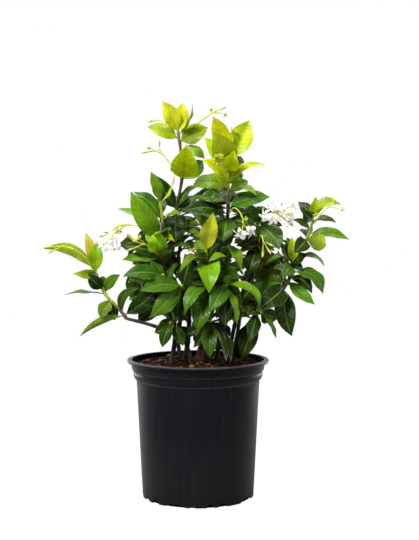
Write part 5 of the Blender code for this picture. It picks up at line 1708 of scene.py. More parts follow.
class Surface(Graph):
    """A material that is being wired, with its shader's inputs."""

    def __init__(self, name: str, effects: Effects) -> None:
        """Start a material.

        Args:
            name: its name.
            effects: the shared groups.
        """
        self.material = bpy.data.materials.new(name)
        self.material.use_nodes = True
        super().__init__(self.material.node_tree)
        self.effects = effects
        self.shader = self.tree.nodes["Principled BSDF"].inputs
        self.place = self.take("ShaderNodeTexCoord", {}, "Object")

    def tone(self, output: str = "Color") -> Signal:
        """What each vertex keeps: its colour, or the number of its leaf."""
        return self.take("ShaderNodeAttribute", {}, output, attribute_name="tone")

    def own_map(self) -> Signal:
        """The place on the piece's own map."""
        return self.take("ShaderNodeUVMap", {}, uv_map="UVMap")

    def mottle(self, scale: float) -> list[Signal]:
        """Broad and fine mottling."""
        return list(self.group(self.effects.mottle, Place=self.place, Scale=scale).values())

    def dust(self, scale: float) -> list[Signal]:
        """Patches and specks of dust."""
        return list(self.group(self.effects.dust, Place=self.place, Scale=scale).values())

    def set(self, **values: object) -> None:
        """Feed the shader's inputs, named with underscores for spaces."""
        for name, value in values.items():
            self.feed(self.shader[name.replace("_", " ")], value)

    def relief(self, height: Signal, strength: float, depth: float) -> None:
        """Give the surface relief of a height, a strength and a depth in millimetres."""
        inputs = {"Height": height, "Strength": strength, "Distance": depth * MM}
        self.set(Normal=self.take("ShaderNodeBump", inputs, "Normal"))


@dataclass(frozen=True)
class Finish:
    """A surface: its name and its constants."""

    name: str
    roughness: float
    specular: float = 0.5

    def build(self, effects: Effects) -> bpy.types.Material:
        """Make the material.

        Args:
            effects: the shared groups.

        Returns:
            The material.
        """
        surface = Surface(self.name, effects)
        surface.set(Roughness=self.roughness, Specular_IOR_Level=self.specular)
        self.wire(surface)
        return surface.material

    def wire(self, on: Surface) -> None:
        """Wire the details of the surface."""
        raise NotImplementedError


@dataclass(frozen=True)
class LeafFinish(Finish):
    """A side of a leaf: its tone with paler veins, or darker ones where the leaf is young, and painted shade
    that darkens the vein grooves and lightens the swells between them.
    """

    paleness: float = 0.0
    pale: tuple = (0.25, 0.34, 0.045)
    midrib: float = 0.5
    side: float = 0.22
    rim: float = 0.30
    pairs: float = 9.0
    scale: float = 55.0
    old_vein: tuple = (0.19, 0.32, 0.035)
    young_vein: tuple = (0.20, 0.33, 0.006)

    def wire(self, on: Surface) -> None:
        """Wire veins, mottling, painted shade in the vein grooves with lighter swells between, and gloss.

        Args:
            on: the surface.
        """
        tone, veins = on.tone(), on.group(on.effects.veins, Map=on.own_map(), Pairs=self.pairs)
        broad, fine = on.mottle(self.scale)
        red = on.take("ShaderNodeSeparateColor", {0: tone})
        young = red.span(0.10, 0.30)
        calm = young * -0.60 + 1.0
        # The swell term is painted shade: the colour is darker in the vein grooves and lighter on the swells
        # between them.
        shade = (broad * 0.34 + 0.80) * (fine * 0.16 + 0.92) * (veins["Swell"] * calm * 0.20 + 0.90)
        lit = on.blend(self.paleness, tone, self.pale).scaled(shade)
        vein_colour = on.blend(young, self.old_vein, self.young_vein)
        amount = on.highest(veins["Midrib"] * self.midrib, veins["Side"] * self.side,
                            veins["Rim"] * self.rim)
        amount = amount * red.span(0.20, 0.50, 1.0, 0.40)
        on.set(Base_Color=on.blend(amount, lit, vein_colour),
               Roughness=fine * 0.12 + on.tone("Alpha") * 0.10 + (self.roughness - 0.05))
        on.relief((fine * 0.12 + veins["Swell"] - veins["Midrib"]) * calm, 0.50, 0.5)


@dataclass(frozen=True)
class TissueFinish(Finish):
    """Stalks, buds and calyces: the tone with soft mottling and faint ribs along it."""

    scale: float = 120.0
    contrast: float = 0.35

    def wire(self, on: Surface) -> None:
        """Wire mottling and relief.

        Args:
            on: the surface.
        """
        broad, fine = on.mottle(self.scale)
        mixed = fine * 0.4 + broad * 0.6
        on.set(Base_Color=on.tone().scaled(mixed * (2.0 * self.contrast) + (1.0 - self.contrast)),
               Roughness=mixed * 0.2 + (self.roughness - 0.1))
        on.relief(mixed, 0.5, 0.25)


@dataclass(frozen=True)
class BarkFinish(Finish):
    """Bark of old stems: grain along the stem, pale lenticels, and darker cracks."""

    grain_scale: float = 900.0
    lenticel_scale: float = 420.0
    lenticel: tuple = (0.24, 0.16, 0.11)

    def wire(self, on: Surface) -> None:
        """Wire grain, lenticels and cracks.

        Args:
            on: the surface.
        """
        grain = on.place.stretched(1.0, 1.0, 0.16).noise(self.grain_scale, 4.0, 0.6).span(0.35, 0.65)
        cells = {"Vector": on.place.stretched(1.0, 1.0, 0.6), "Scale": self.lenticel_scale}
        spots = on.take("ShaderNodeTexVoronoi", cells, "Distance").span(0.12, 0.24, 1.0, 0.0)
        broad, _ = on.mottle(90.0)
        lit = on.tone().scaled((grain * 0.7 + 0.55) * (broad * 0.5 + 0.75))
        on.set(Base_Color=on.blend(spots * 0.25, lit, self.lenticel),
               Roughness=grain * 0.2 + (self.roughness - 0.1))
        on.relief(grain + spots, 0.7, 0.5)


@dataclass(frozen=True)
class PetalFinish(Finish):
    """White petals with faint lengthwise veins, and a blush at their base, which let light through."""

    through: float = 0.8
    through_depth: float = 4.0
    through_colour: tuple = (1.0, 0.85, 0.75)
    veins: float = 7.0
    vein: tuple = (0.74, 0.70, 0.56)

    def wire(self, on: Surface) -> None:
        """Wire veins and blush.

        Args:
            on: the surface.
        """
        across, along, _ = on.own_map().apart()
        fan = abs(on.math("FRACT", across * self.veins) - 0.5)
        line = fan.span(0.0, 0.16, 1.0, 0.0) * along.span(0.5, 1.0, 0.5, 0.1)
        broad, fine = on.mottle(150.0)
        lit = on.tone().scaled(broad * 0.10 + 0.92)
        on.set(Base_Color=on.blend(line * 0.20, lit, self.vein),
               Roughness=fine * 0.12 + self.roughness, Subsurface_Weight=self.through,
               Subsurface_Radius=self.through_colour, Subsurface_Scale=self.through_depth * MM)
        on.relief(fine - line, 0.3, 0.15)


@dataclass(frozen=True)
class PotFinish(Finish):
    """Black nursery plastic with dust at the foot, streaks and scuffs, and paler bands painted as highlights
    along the lip and the two steps of the band. Each step's painted highlight has a height and a reach in
    metres, and a strength. The lip's painted highlight and the foot's dust have the heights between which
    they change, and their strength at each."""

    black: tuple = (0.0016, 0.0011, 0.0036)
    grey: tuple = (0.125, 0.108, 0.106)
    steps: tuple = ((0.1766, 0.0014, 0.62), (0.1904, 0.0013, 0.42))
    lip: tuple = (0.2046, 0.2064, 0.05, 0.70)
    foot: tuple = (0.0, 0.130, 0.035, 0.0)

    def wire(self, on: Surface) -> None:
        """Wire dust, streaks, scuffs and the painted highlights along the lip and the steps.

        Args:
            on: the surface.
        """
        _, _, height = on.place.apart()
        patches, specks = on.dust(26.0)
        streak = on.place.stretched(1.0, 1.0, 0.045).noise(240.0, 4.0, 0.6).span(0.50, 0.70)
        scuff = on.place.stretched(0.5, 0.5, 6.0).noise(60.0, 5.0, 0.7).span(0.60, 0.72)
        # Painted highlights: paler lines along the two steps of the band.
        line = on.highest(*(abs(height - level).span(0.0003, reach, share, 0.0)
                            for level, reach, share in self.steps))
        dust_and_highlight = streak * 0.006 + patches * 0.015 + height.span(*self.foot) + scuff * 0.02 + specks * 0.10
        # The lip's paler band is a painted highlight, like the step lines; both are mixed into the dust.
        painted_highlight = line + height.span(*self.lip)
        dust_and_highlight = on.math("ADD", dust_and_highlight, painted_highlight * (streak * 0.5 + 0.5), clamp=True)
        on.set(Base_Color=on.blend(dust_and_highlight, self.black, self.grey),
               Roughness=dust_and_highlight * 0.35 + streak * 0.06 + self.roughness)
        on.relief(scuff * -0.3 + on.place.noise(1500.0, 2.0), 0.25, 0.12)


@dataclass(frozen=True)
class SoilFinish(Finish):
    """Damp potting soil: dark crumbs, brown peat and pale flecks."""

    crumb_scale: float = 700.0
    fleck: tuple = (0.42, 0.30, 0.16)

    def wire(self, on: Surface) -> None:
        """Wire crumbs and flecks.

        Args:
            on: the surface.
        """
        broad, _ = on.mottle(110.0)
        _, specks = on.dust(45.0)
        crumbs = on.place.noise(self.crumb_scale, 4.0, 0.7).span(0.34, 0.66)
        lit = on.tone().scaled((crumbs + 0.35) * (broad * 0.6 + 0.7))
        on.set(Base_Color=on.blend(specks * 0.6, lit, self.fleck),
               Roughness=crumbs * 0.15 + (self.roughness - 0.1))
        on.relief(crumbs, 0.9, 1.2)


@dataclass(frozen=True)
class FloorFinish(Finish):
    """A plain pale floor with the faintest unevenness, which looks as white as its surroundings."""

    colour: tuple = (0.34, 0.34, 0.34)
    seen_colour: tuple = (0.04, 0.04, 0.04)
    glow: float = 0.98

    def wire(self, on: Surface) -> None:
        """Wire the unevenness.

        Args:
            on: the surface.
        """
        broad, _ = on.mottle(6.0)
        camera = on.camera_share()
        on.set(Base_Color=on.blend(camera, self.colour, self.seen_colour),
               Emission_Color=on.blend(camera, (0.0, 0.0, 0.0), (1.0, 1.0, 1.0)),
               Emission_Strength=self.glow, Roughness=broad * 0.05 + self.roughness)


def held(values: np.ndarray) -> np.ndarray:
    """Values held between 0 and 1."""
    return np.clip(values, 0.0, 1.0)


def mixed(first: Sequence[float], second: Sequence[float], share: np.ndarray) -> np.ndarray:
    """Colours with a share of a second colour for each vertex."""
    return np.array(first) * (1.0 - share[:, None]) + np.array(second) * share[:, None]


# What the tone of a leaf is mixed with, and how much of it, from how far along the leaf and how far out
# from its midrib a vertex is
ACCENTS: dict[Tone, tuple[tuple, Callable[..., np.ndarray]]] = {
    MID: (LIME.value, lambda along, reach, rng: rng.uniform(0.0, 0.35) * (1.0 - along)),
    OLIVE: (LIME.value, lambda along, reach, rng: 0.5 * along**2),
    LIME: (MID.value, lambda along, reach, rng: 0.30 * (1.0 - along) * (1.0 - 0.6 * reach)),
    YELLOW: ((0.66, 0.56, 0.06), lambda along, reach, rng: 0.22 * reach**2 * rng.uniform(0.2, 1.0)),
    GOLD: ((0.52, 0.34, 0.05), lambda along, reach, rng: 0.6 * reach**3),
    OCHRE: ((0.30, 0.40, 0.02), lambda along, reach, rng: 0.75 * (1.0 - reach**2)),
}


@dataclass
class LeafBlank:
    """A flat leaf, two units wide and long, with its upper and lower side in slots of their own, and how
    its copies are bent. A pair is the least and the most of a seeded draw: a share of the leaf's length
    or half its width, an angle in degrees or radians, a number of waves, or what a tone is multiplied by."""

    columns: int = 8
    rows: int = 16
    outline: tuple = ((0.0, 0.0), (0.07, 0.02), (0.12, 0.28), (0.19, 0.55), (0.27, 0.78), (0.36, 0.94),
                      (0.45, 1.0), (0.55, 0.985), (0.65, 0.89), (0.74, 0.73), (0.81, 0.555), (0.87, 0.375),
                      (0.92, 0.21), (0.965, 0.085), (1.0, 0.0))
    sliver: float = 0.06
    thickness: float = 0.5
    petiole: float = 0.75
    petiole_share: float = 0.085
    petiole_depth: float = 0.9
    rib_depth: float = 0.35
    rib_reach: float = 0.05
    twist_degrees: tuple = (-16.0, 16.0)
    sickle: tuple = (-0.035, 0.035)
    waves: tuple = (1.6, 2.8)
    ripple: tuple = (0.07, 0.20)
    more_fold: tuple = (0.0, 0.22)
    recurve: tuple = (0.0, 0.08)
    old_recurve: tuple = (0.06, 0.16)
    young_width: float = 20.0
    bend: tuple = (0.05, 0.75)
    young_bend: tuple = (0.05, 0.25)
    bend_start: tuple = (0.45, 0.65)
    hook: tuple = (-0.03, 0.03)
    hook_start: float = 0.72
    lightness: tuple = (0.82, 1.20)
    redness: tuple = (0.86, 1.16)
    stalk_tone: tuple = (0.15, 0.17, 0.02)
    stalk_share: float = 0.65
    stalk_fade: float = 0.10
    form: Blank | None = None

    def build(self, upper: bpy.types.Material, under: bpy.types.Material) -> None:
        """Model the blank.

        Args:
            upper: the finish of the upper side.
            under: the finish of the underside.
        """

        def shape(row: int, level: float) -> None:
            """Give a row its width."""
            bpy.ops.transform.resize(value=(self.width(row / self.rows), 1.0, 1.0))

        piece = sheet(self.columns, self.rows, shape)
        bpy.ops.mesh.remove_doubles(threshold=NEAR / 10.0)
        skinned(piece, 1.0, upper, under)
        self.form = Blank(piece)

    def width(self, share: float) -> float:
        """The half-width of the outline so far along, where the narrow petiole still has a sliver."""
        shares, widths = zip(*self.outline)
        return max(float(np.interp(share, shares, widths)), self.sliver if share < 0.5 else 0.0)

    def lay(self, blade: Blade, rng: random.Random) -> bpy.types.Object:
        """Bend a copy along a blade of the plan.

        Args:
            blade: the blade.
            rng: the seeded source of its differences.

        Returns:
            The leaf.
        """
        across, deep = self.form.points[:, 0], self.form.points[:, 2]
        along = (self.form.points[:, 1] + 1.0) / 2.0
        rows = np.rint(along * self.rows).astype(int)
        half, length = blade.width / 2, blade.length
        old = blade.tone in (DARK, MATURE)
        young = blade.tone in (YELLOW, LIME, OLIVE, GOLD, OCHRE) or blade.width < self.young_width
        twist = math.radians(rng.uniform(*self.twist_degrees))
        sickle = rng.uniform(*self.sickle) * length
        waves, phase = rng.uniform(*self.waves), rng.uniform(0.0, math.tau)
        ripple = rng.uniform(*self.ripple) * half
        fold = SIZES.fold + rng.uniform(*self.more_fold)
        recurve = rng.uniform(*(self.old_recurve if old else self.recurve)) * half
        bend = rng.uniform(*(self.young_bend if young else self.bend))
        start = rng.uniform(*self.bend_start)
        hook = rng.uniform(*self.hook) * length
        frames = []
        for row in range(self.rows + 1):
            middle, side, upper = blade.frame(row / self.rows)
            turn = Matrix.Rotation(twist * row / self.rows, 3, side.cross(upper))
            frames.append((middle, turn @ side, turn @ upper))
        middle, side, upper = (np.array(kind)[rows] for kind in zip(*frames))
        widths = np.array([self.width(row / self.rows) for row in range(self.rows + 1)])[rows]
        slim = held(1.0 - along / self.petiole_share)
        reach = np.abs(across) / np.maximum(widths, 1e-6)
        stalk = across / np.maximum(widths, 1e-6) * self.petiole * slim
        place = np.where(np.abs(across * half) < np.abs(stalk), stalk, across * half)
        place = place + sickle * 4.0 * along * (1.0 - along) * held(along * 4.0)
        place = place + hook * held((along - self.hook_start) / (1.0 - self.hook_start)) ** 2
        lift = fold * np.abs(across) * half * (1.0 - slim) - recurve * reach**4 * widths
        lift += ripple * widths * reach**2 * np.sin(math.tau * waves * along + phase + np.sign(across))
        lift += deep * (self.thickness + self.petiole_depth * slim)
        lift -= np.where((reach < self.rib_reach) & (deep < 0.0), self.rib_depth * (1.0 - along), 0.0)
        run = held((along - start) / (1.0 - start))
        turn = (bend * run)[:, None]
        heading, reached = np.cross(upper, side), length * (1.0 - start)
        middle = middle + heading * reached * (np.sin(turn) / bend - run[:, None])
        middle = middle - upper * reached * (1.0 - np.cos(turn)) / bend
        upper = upper * np.cos(turn) + heading * np.sin(turn)
        laid = middle + side * place[:, None] + upper * lift[:, None]
        return self.form.laid(laid, self.tones(blade, along, reach, rng))

    def tones(self, blade: Blade, along: np.ndarray, reach: np.ndarray, rng: random.Random) -> np.ndarray:
        """The tone of each vertex of a leaf.

        Args:
            blade: the blade.
            along: how far along each vertex is.
            reach: how far from the midrib to the edge it is.
            rng: the seeded source of its differences.

        Returns:
            Rows of red, green, blue and the number of the leaf.
        """
        tone = np.array(blade.tone.value) * rng.uniform(*self.lightness)
        # blade.shade paints light and shade into the tone: it lightens leaves that the lamps leave dim and
        # darkens leaves deep in the crown, beside real tone differences.
        tone = tone * np.array((rng.uniform(*self.redness), 1.0, 1.0)) * blade.shade
        colours = np.tile(tone, (len(along), 1))
        if blade.tone in ACCENTS:
            accent, share = ACCENTS[blade.tone]
            colours = mixed(colours, accent, share(along, reach, rng))
        colours = mixed(colours, self.stalk_tone, self.stalk_share * held(1.0 - along / self.stalk_fade))
        return np.column_stack((colours, np.full(len(along), rng.random())))


@dataclass
class TubeBlank:
    """A straight rod of many rings, to be bent along stems and stalks. Its rings crowd about each node
    of the stem, where it swells."""

    sides: int
    rings: int
    marks_read: int = 600
    crowding: float = 5.0
    crowd_reach: float = 2.2
    swell_reach: float = 1.9
    form: Blank | None = None

    def build(self, finish: bpy.types.Material) -> TubeBlank:
        """Model the blank.

        Args:
            finish: its finish.

        Returns:
            The blank itself.
        """
        piece = ring_form(self.sides, [(1.0, float(level)) for level in range(self.rings)])
        dress(piece, 60.0, finish)
        self.form = Blank(piece)
        return self

    def marks(self, path: Path, nodes: Sequence[float]) -> list[float]:
        """Where the rings go: evenly, but closer together about the nodes.

        Args:
            path: the line that the rod follows.
            nodes: how far along the nodes are.

        Returns:
            How far along each ring is.
        """
        fine = np.linspace(0.0, path.length, self.marks_read)
        weight = np.ones(self.marks_read)
        for node in nodes:
            weight += self.crowding * np.exp(-(((fine - node) / self.crowd_reach) ** 2))
        total = np.cumsum(weight)
        total = (total - total[0]) / (total[-1] - total[0])
        return list(np.interp(np.linspace(0.0, 1.0, self.rings), total, fine))

    def lay(self, path: Path, radius: Callable[[float], float], tone: Callable[[float], Sequence[float]],
            nodes: Sequence[float] = (), swelling: float = 0.22) -> bpy.types.Object:
        """Bend a copy along a line.

        Args:
            path: the line.
            radius: the radius so far along.
            tone: the colour so far along.
            nodes: how far along its nodes are.
            swelling: how much thicker it is at a node.

        Returns:
            The rod.
        """
        across = path.heading(0.0).orthogonal().normalized()
        frames, radii, tones = [], [], []
        for mark in self.marks(path, nodes):
            heading = path.heading(mark)
            across = (across - heading * across.dot(heading)).normalized()
            frames.append((path.at(mark), across, heading.cross(across)))
            swell = max((math.exp(-(((mark - node) / self.swell_reach) ** 2)) for node in nodes), default=0.0)
            radii.append(radius(mark) * (1.0 + swelling * swell))
            tones.append((*tone(mark), 1.0))
        points = self.form.points
        rows = np.rint(points[:, 2]).astype(int)
        middle, side, other = (np.array(kind)[rows] for kind in zip(*frames))
        reach = np.array(radii)[rows][:, None]
        laid = middle + (side * points[:, :1] + other * points[:, 1:2]) * reach
        return self.form.laid(laid, np.array(tones)[rows])

    def plain(self, path: Path, radius: float, tone: Sequence[float]) -> bpy.types.Object:
        """A copy of one radius and one tone along a line."""
        return self.lay(path, lambda mark: radius, lambda mark: tone)


@dataclass
class HeadBlanks:
    """A flower, a calyx and a bud, each modelled once, in millimetres. A petal's rows give its half-width,
    sideways lean and lift from its root to its tip, a sepal's its half-width, reach and rise, the rings
    their radius and height, and each whorl of sepals its height and size."""

    petal_columns: int = 4
    petal_length: float = 8.3
    petal_rows: tuple = ((0.7, 0.0, -0.9), (1.2, 0.15, 0.1), (2.1, 0.5, 0.6), (3.2, 1.1, 0.7),
                         (3.9, 1.9, 0.3), (3.5, 2.9, -0.6), (1.9, 4.0, -2.0))
    petal_turn: tuple = (8.0, 34.0)
    petal_thickness: float = 0.45
    petal_root: float = 0.7
    blush_reach: float = 1.7
    sepal_rows: tuple = ((0.65, 0.9, 0.0), (0.85, 1.6, 0.9), (0.80, 2.3, 1.6), (0.5, 3.0, 1.9),
                         (0.08, 3.6, 1.7))
    sepal_thickness: float = 0.4
    aside: float = 4.0
    bloom_whorl: tuple = (0.9, 0.72)
    calyx_whorl: tuple = (0.6, 1.0)
    bud_whorl: tuple = (0.0, 0.5)
    tube_sides: int = 10
    cup_sides: int = 8
    bud_turn: float = 9.0
    flute_twist: float = 0.16
    flute_depth: float = 0.10
    flute_start: float = 4.0
    tube_rings: tuple = ((0.8, 0.0), (1.0, 1.2), (1.15, 3.2), (1.5, 4.6), (1.35, 6.0), (1.6, 7.3),
                         (2.1, 7.85))
    throat_rings: tuple = ((1.0, 7.7), (1.15, 8.1), (0.8, 8.35), (0.3, 8.1))
    cup_rings: tuple = ((0.75, 0.0), (1.1, 0.6), (1.25, 1.6), (1.0, 2.6), (0.85, 3.6), (0.35, 4.5))
    bud_rings: tuple = ((0.7, 0.0), (0.95, 0.8), (1.2, 2.0), (1.45, 3.6), (1.6, 5.2), (1.5, 6.8),
                        (1.25, 8.3), (0.85, 9.6), (0.45, 10.6), (0.12, 11.0))
    white: tuple = (0.93, 0.87, 0.86)
    blush: tuple = (0.80, 0.74, 0.36)
    tube: tuple = (0.62, 0.66, 0.36)
    throat: tuple = (0.80, 0.60, 0.10)
    cup: tuple = (0.55, 0.60, 0.03)
    lime: tuple = (0.50, 0.58, 0.012)
    bud_foot: tuple = (0.40, 0.48, 0.05)
    bud_tip: tuple = (0.74, 0.46, 0.10)
    forms: dict[Kind, Blank] = field(default_factory=dict)

    def build(self, petals: bpy.types.Material, tissue: bpy.types.Material) -> None:
        """Model the three heads.

        Args:
            petals: the finish of the petals.
            tissue: the finish of all else.
        """
        petal, sepal = self.petal_blank(petals), self.sepal_blank(tissue)
        parts = self.whorl(petal, Kind.BLOOM.value[0], 1.0, 0.0)
        parts.append(self.turned(self.tube_sides, self.tube_rings, tissue, self.tube))
        parts.append(self.turned(self.tube_sides, self.throat_rings, tissue, self.throat))
        parts += self.whorl(sepal, *self.bloom_whorl)
        self.forms[Kind.BLOOM] = Blank(joined("bloom", parts))
        cup = self.turned(self.cup_sides, self.cup_rings, tissue, self.cup)
        parts = [cup, *self.whorl(sepal, *self.calyx_whorl)]
        self.forms[Kind.CALYX] = Blank(joined("calyx", parts))
        parts = [self.bud_body(tissue), *self.whorl(sepal, *self.bud_whorl)]
        self.forms[Kind.BUD] = Blank(joined("bud", parts))

    def turned(self, sides: int, rings: tuple, finish: bpy.types.Material,
               colour: tuple) -> bpy.types.Object:
        """A turned part of a head.

        Args:
            sides: how many sides it has.
            rings: the radius and height of each of its rings.
            finish: its finish.
            colour: its tone.

        Returns:
            The part.
        """
        piece = ring_form(sides, rings)
        dress(piece, 50.0, finish)
        form = Blank(piece, colour)
        return form.laid(form.points, form.tones, 1.0)

    def petal_blank(self, finish: bpy.types.Material) -> Blank:
        """A petal like a propeller's blade, in its place beside the middle of the flower.

        Args:
            finish: its finish.

        Returns:
            The blank.
        """
        last = len(self.petal_rows) - 1

        def shape(row: int, level: float) -> None:
            """Give a row its width, its turn and its place."""
            half, lean, lift = self.petal_rows[row]
            bpy.ops.transform.resize(value=(half, 1.0, 1.0))
            start, more = self.petal_turn
            bpy.ops.transform.rotate(value=math.radians(more * row / last + start), orient_axis="Y",
                                     center_override=(0.0, level, 0.0))
            bpy.ops.transform.translate(value=(lean, 0.0, lift))

        piece = sheet(self.petal_columns, last, shape)
        stretch = self.petal_length / 2.0
        bpy.ops.transform.resize(value=(1.0, stretch, 1.0), center_override=(0.0, 0.0, 0.0))
        bpy.ops.transform.translate(value=(0.0, self.petal_root + stretch, 0.0))
        skinned(piece, self.petal_thickness, finish)
        inward = held(1.0 - (places(piece.data)[:, 1] - self.petal_root) / self.blush_reach)
        return Blank(piece, mixed(self.white, self.blush, inward))

    def sepal_blank(self, finish: bpy.types.Material) -> Blank:
        """A narrow sepal that bends away from the axis.

        Args:
            finish: its finish.

        Returns:
            The blank.
        """

        def shape(row: int, level: float) -> None:
            """Give a row its width, and put it aside at its reach and rise."""
            half, out, rise = self.sepal_rows[row]
            bpy.ops.transform.resize(value=(half, 1.0, 1.0))
            bpy.ops.transform.translate(value=(0.0, out - level + self.aside, rise))

        piece = sheet(2, len(self.sepal_rows) - 1, shape)
        bpy.ops.transform.translate(value=(0.0, -self.aside, 0.0))
        skinned(piece, self.sepal_thickness, finish)
        return Blank(piece, self.lime)

    def whorl(self, part: Blank, height: float, size: float, start: float = 0.5) -> list[bpy.types.Object]:
        """A ring of petals or sepals.

        Args:
            part: the petal or sepal.
            height: how high on the head they are.
            size: how much bigger they are.
            start: how far the first is turned on, as a share of the way to the next.

        Returns:
            The copies.
        """
        foot, axis = Vector((0.0, 0.0, height)), Vector((0.0, 0.0, 1.0))
        angles = (math.tau * (turn + start) / SIZES.petals for turn in range(SIZES.petals))
        return [part.placed(foot, axis, angle, size, unit=1.0) for angle in angles]

    def bud_body(self, finish: bpy.types.Material) -> bpy.types.Object:
        """The fluted body of a bud, green at its foot and golden at its twisted tip.

        Args:
            finish: its finish.

        Returns:
            The body.
        """
        piece = ring_form(self.tube_sides, self.bud_rings, self.bud_turn)
        dress(piece, 50.0, finish)
        points = places(piece.data)
        angle = np.arctan2(points[:, 1], points[:, 0]) - points[:, 2] * self.flute_twist
        flute = np.cos(SIZES.petals * angle) * held(points[:, 2] / self.flute_start)
        flute = 1.0 + self.flute_depth * flute
        points[:, :2] *= flute[:, None]
        form = Blank(piece, mixed(self.bud_foot, self.bud_tip, held(points[:, 2] / 5.5 - 0.7)))
        return form.laid(points, form.tones, 1.0)


@dataclass
class Plant:
    """The plant's finer pieces, one for each of the frame's nodes, in millimetres. Each shade and size is
    the least and the most that a seeded draw multiplies by."""

    growth: Growth
    leaf: LeafBlank
    rod: TubeBlank
    stalk: TubeBlank
    bark_rod: TubeBlank
    heads: HeadBlanks
    old_bark: tuple = (0.040, 0.025, 0.019)
    red_bark: tuple = (0.125, 0.048, 0.024)
    red_stems: tuple = ("stem_centre", "stem_right", "stem_right_leader")
    young: tuple = (0.26, 0.33, 0.012)
    peduncle: tuple = (0.50, 0.56, 0.018)
    green_spray: str = "spray_far_right"
    green_shade: tuple = (0.84, 0.95, 0.62)
    bark_nodes: tuple = (22.0, 6.0, 26.0)
    flare: tuple = (0.10, 14.0, 8.0)
    stub_radius: float = 2.35
    stalk_radius: float = 0.75
    shoot_share: float = 1.08
    peduncle_radii: tuple = (1.15, 0.85)
    stem_swelling: float = 0.16
    spray_swelling: float = 0.3
    shoot_sink: float = 1.6
    top_sink: float = 0.3
    spray_sink: float = 1.2
    head_sink: float = 0.4
    bark_shade: tuple = (0.85, 1.15)
    bark_sway: float = 3.0
    stalk_bend: float = 0.45
    stalk_shade: tuple = (0.85, 1.1)
    petal_shade: tuple = (0.95, 1.0)
    head_size: tuple = (0.95, 1.05)
    woody: float = 0.66
    greening: float = 0.14
    woody_shares: dict[str, float] = field(
        default_factory=lambda: {"shoot_left_leader": 0.93, "shoot_far_left": 0.30})
    calyx_size: float = 1.4
    seed: int = 11

    def build(self) -> None:
        """Lay every stem, shoot and spray."""
        rng = random.Random(self.seed)
        for stem in STEMS:
            self.lay_stem(stem, rng)
        for grown in self.growth.shoots:
            self.lay_shoot(grown, rng)
        for spray in SPRAYS:
            self.lay_spray(spray, rng)

    def lay_stem(self, stem: Stem, rng: random.Random) -> None:
        """Lay a woody stem with its stubs.

        Args:
            stem: the stem.
            rng: the seeded source of its differences.
        """
        path = Path(smooth(self.growth.stems[stem.name].points, 4))
        red = stem.name in self.red_stems
        tone = np.array(self.red_bark if red else self.old_bark) * rng.uniform(*self.bark_shade)
        first, short, step = self.bark_nodes
        nodes = [mark + rng.uniform(-self.bark_sway, self.bark_sway)
                 for mark in np.arange(first, path.length - short, step)]

        def radius(mark: float) -> float:
            """The radius so far along, with a flare just above the soil."""
            more, middle, reach = self.flare
            plain = stem.foot_radius + (stem.tip_radius - stem.foot_radius) * mark / path.length
            return plain * (1.0 + more * math.exp(-(((mark - middle) / reach) ** 2)))

        pieces = [self.bark_rod.lay(path, radius, lambda mark: tone, nodes, self.stem_swelling)]
        for grown in self.growth.shoots:
            if grown.stub and grown.shoot.carrier == stem.name:
                pieces.append(self.bark_rod.plain(grown.stub, self.stub_radius, tone))
        declare(stem.name, "bark", *pieces)

    def shoot_tone(self, grown: GrownShoot, mark: float) -> np.ndarray:
        """The colour of a shoot so far along: bark, then red-brown, then green at its tip.

        Args:
            grown: the shoot.
            mark: how far along.

        Returns:
            The colour.
        """
        share = mark / grown.path.length
        woody = self.woody_shares.get(grown.shoot.name, self.woody)
        low, middle, high = (np.array(tone) for tone in (self.old_bark, self.red_bark, self.young))
        if share < woody:
            return low + (middle - low) * share / woody
        return middle + (high - middle) * min(1.0, (share - woody) / self.greening)

    def line(self, points: Sequence[Vector], sink: float) -> Path:
        """A smooth line through points, which starts a little sunk into the piece that bears it."""
        back = (points[0] - points[1]).normalized() * sink
        return Path(smooth([points[0] + back, *points], 3))

    def lay_shoot(self, grown: GrownShoot, rng: random.Random) -> None:
        """Lay a shoot with its leaves, one piece for each of its nodes in the frame.

        Args:
            grown: the shoot.
            rng: the seeded source of its differences.
        """
        for name, start, end in grown.pieces:
            sink = self.shoot_sink if start == 0.0 else self.top_sink
            path = self.line(grown.path.part(start, end).points, sink)
            nodes = sorted({round(mark - start, 1) for _, mark in grown.blades[name]})
            pieces = [self.rod.lay(path, lambda mark: grown.radius(start + mark) * self.shoot_share,
                                   lambda mark: self.shoot_tone(grown, start + mark), nodes)]
            pieces += [self.leaf.lay(blade, rng) for blade, _ in grown.blades[name]]
            slot = next((slot for slot, names in SLOTS.items() if name in names), "leaf_dark")
            declare(name, slot, *pieces)

    def lay_spray(self, spray: Spray, rng: random.Random) -> None:
        """Lay a spray with its flowers, calyces and buds.

        Args:
            spray: the planned spray.
            rng: the seeded source of its differences.
        """
        path, heads = self.growth.sprays[spray.name]
        tone = np.array(self.peduncle)
        line = self.line(path.points, self.spray_sink)
        forks = [head.at * line.length for head in spray.heads]
        thick, thin = self.peduncle_radii
        pieces = [self.rod.lay(line, lambda mark: thick + (thin - thick) * mark / line.length,
                               lambda mark: tone, forks, self.spray_swelling)]
        for head in heads:
            back = head.axis * (head.foot - head.fork).length * self.stalk_bend
            bend = ((head.fork + head.foot) / 2).lerp(head.foot - back, self.stalk_bend)
            curve = [head.fork * (1 - t) ** 2 + bend * (2 * t * (1 - t)) + head.foot * t**2
                     for t in (0.0, 0.2, 0.4, 0.6, 0.8, 1.0)]
            stalk_tone = tone * rng.uniform(*self.stalk_shade)
            pieces.append(self.stalk.plain(Path(curve), self.stalk_radius, stalk_tone))
            shade = (1.0, rng.uniform(*self.petal_shade), rng.uniform(*self.petal_shade))
            if spray.name == self.green_spray and head.kind is Kind.BLOOM:
                shade = self.green_shade
            size = rng.uniform(*self.head_size) * (self.calyx_size if head.kind is Kind.CALYX else 1.0)
            foot = head.foot - head.axis * self.head_sink
            spin = rng.uniform(0, math.tau)
            pieces.append(self.heads.forms[head.kind].placed(foot, head.axis, spin, size, shade))
        white = any(head.kind is Kind.BLOOM for head in heads)
        declare(spray.name, "flower_white" if white else "bud_green", *pieces)


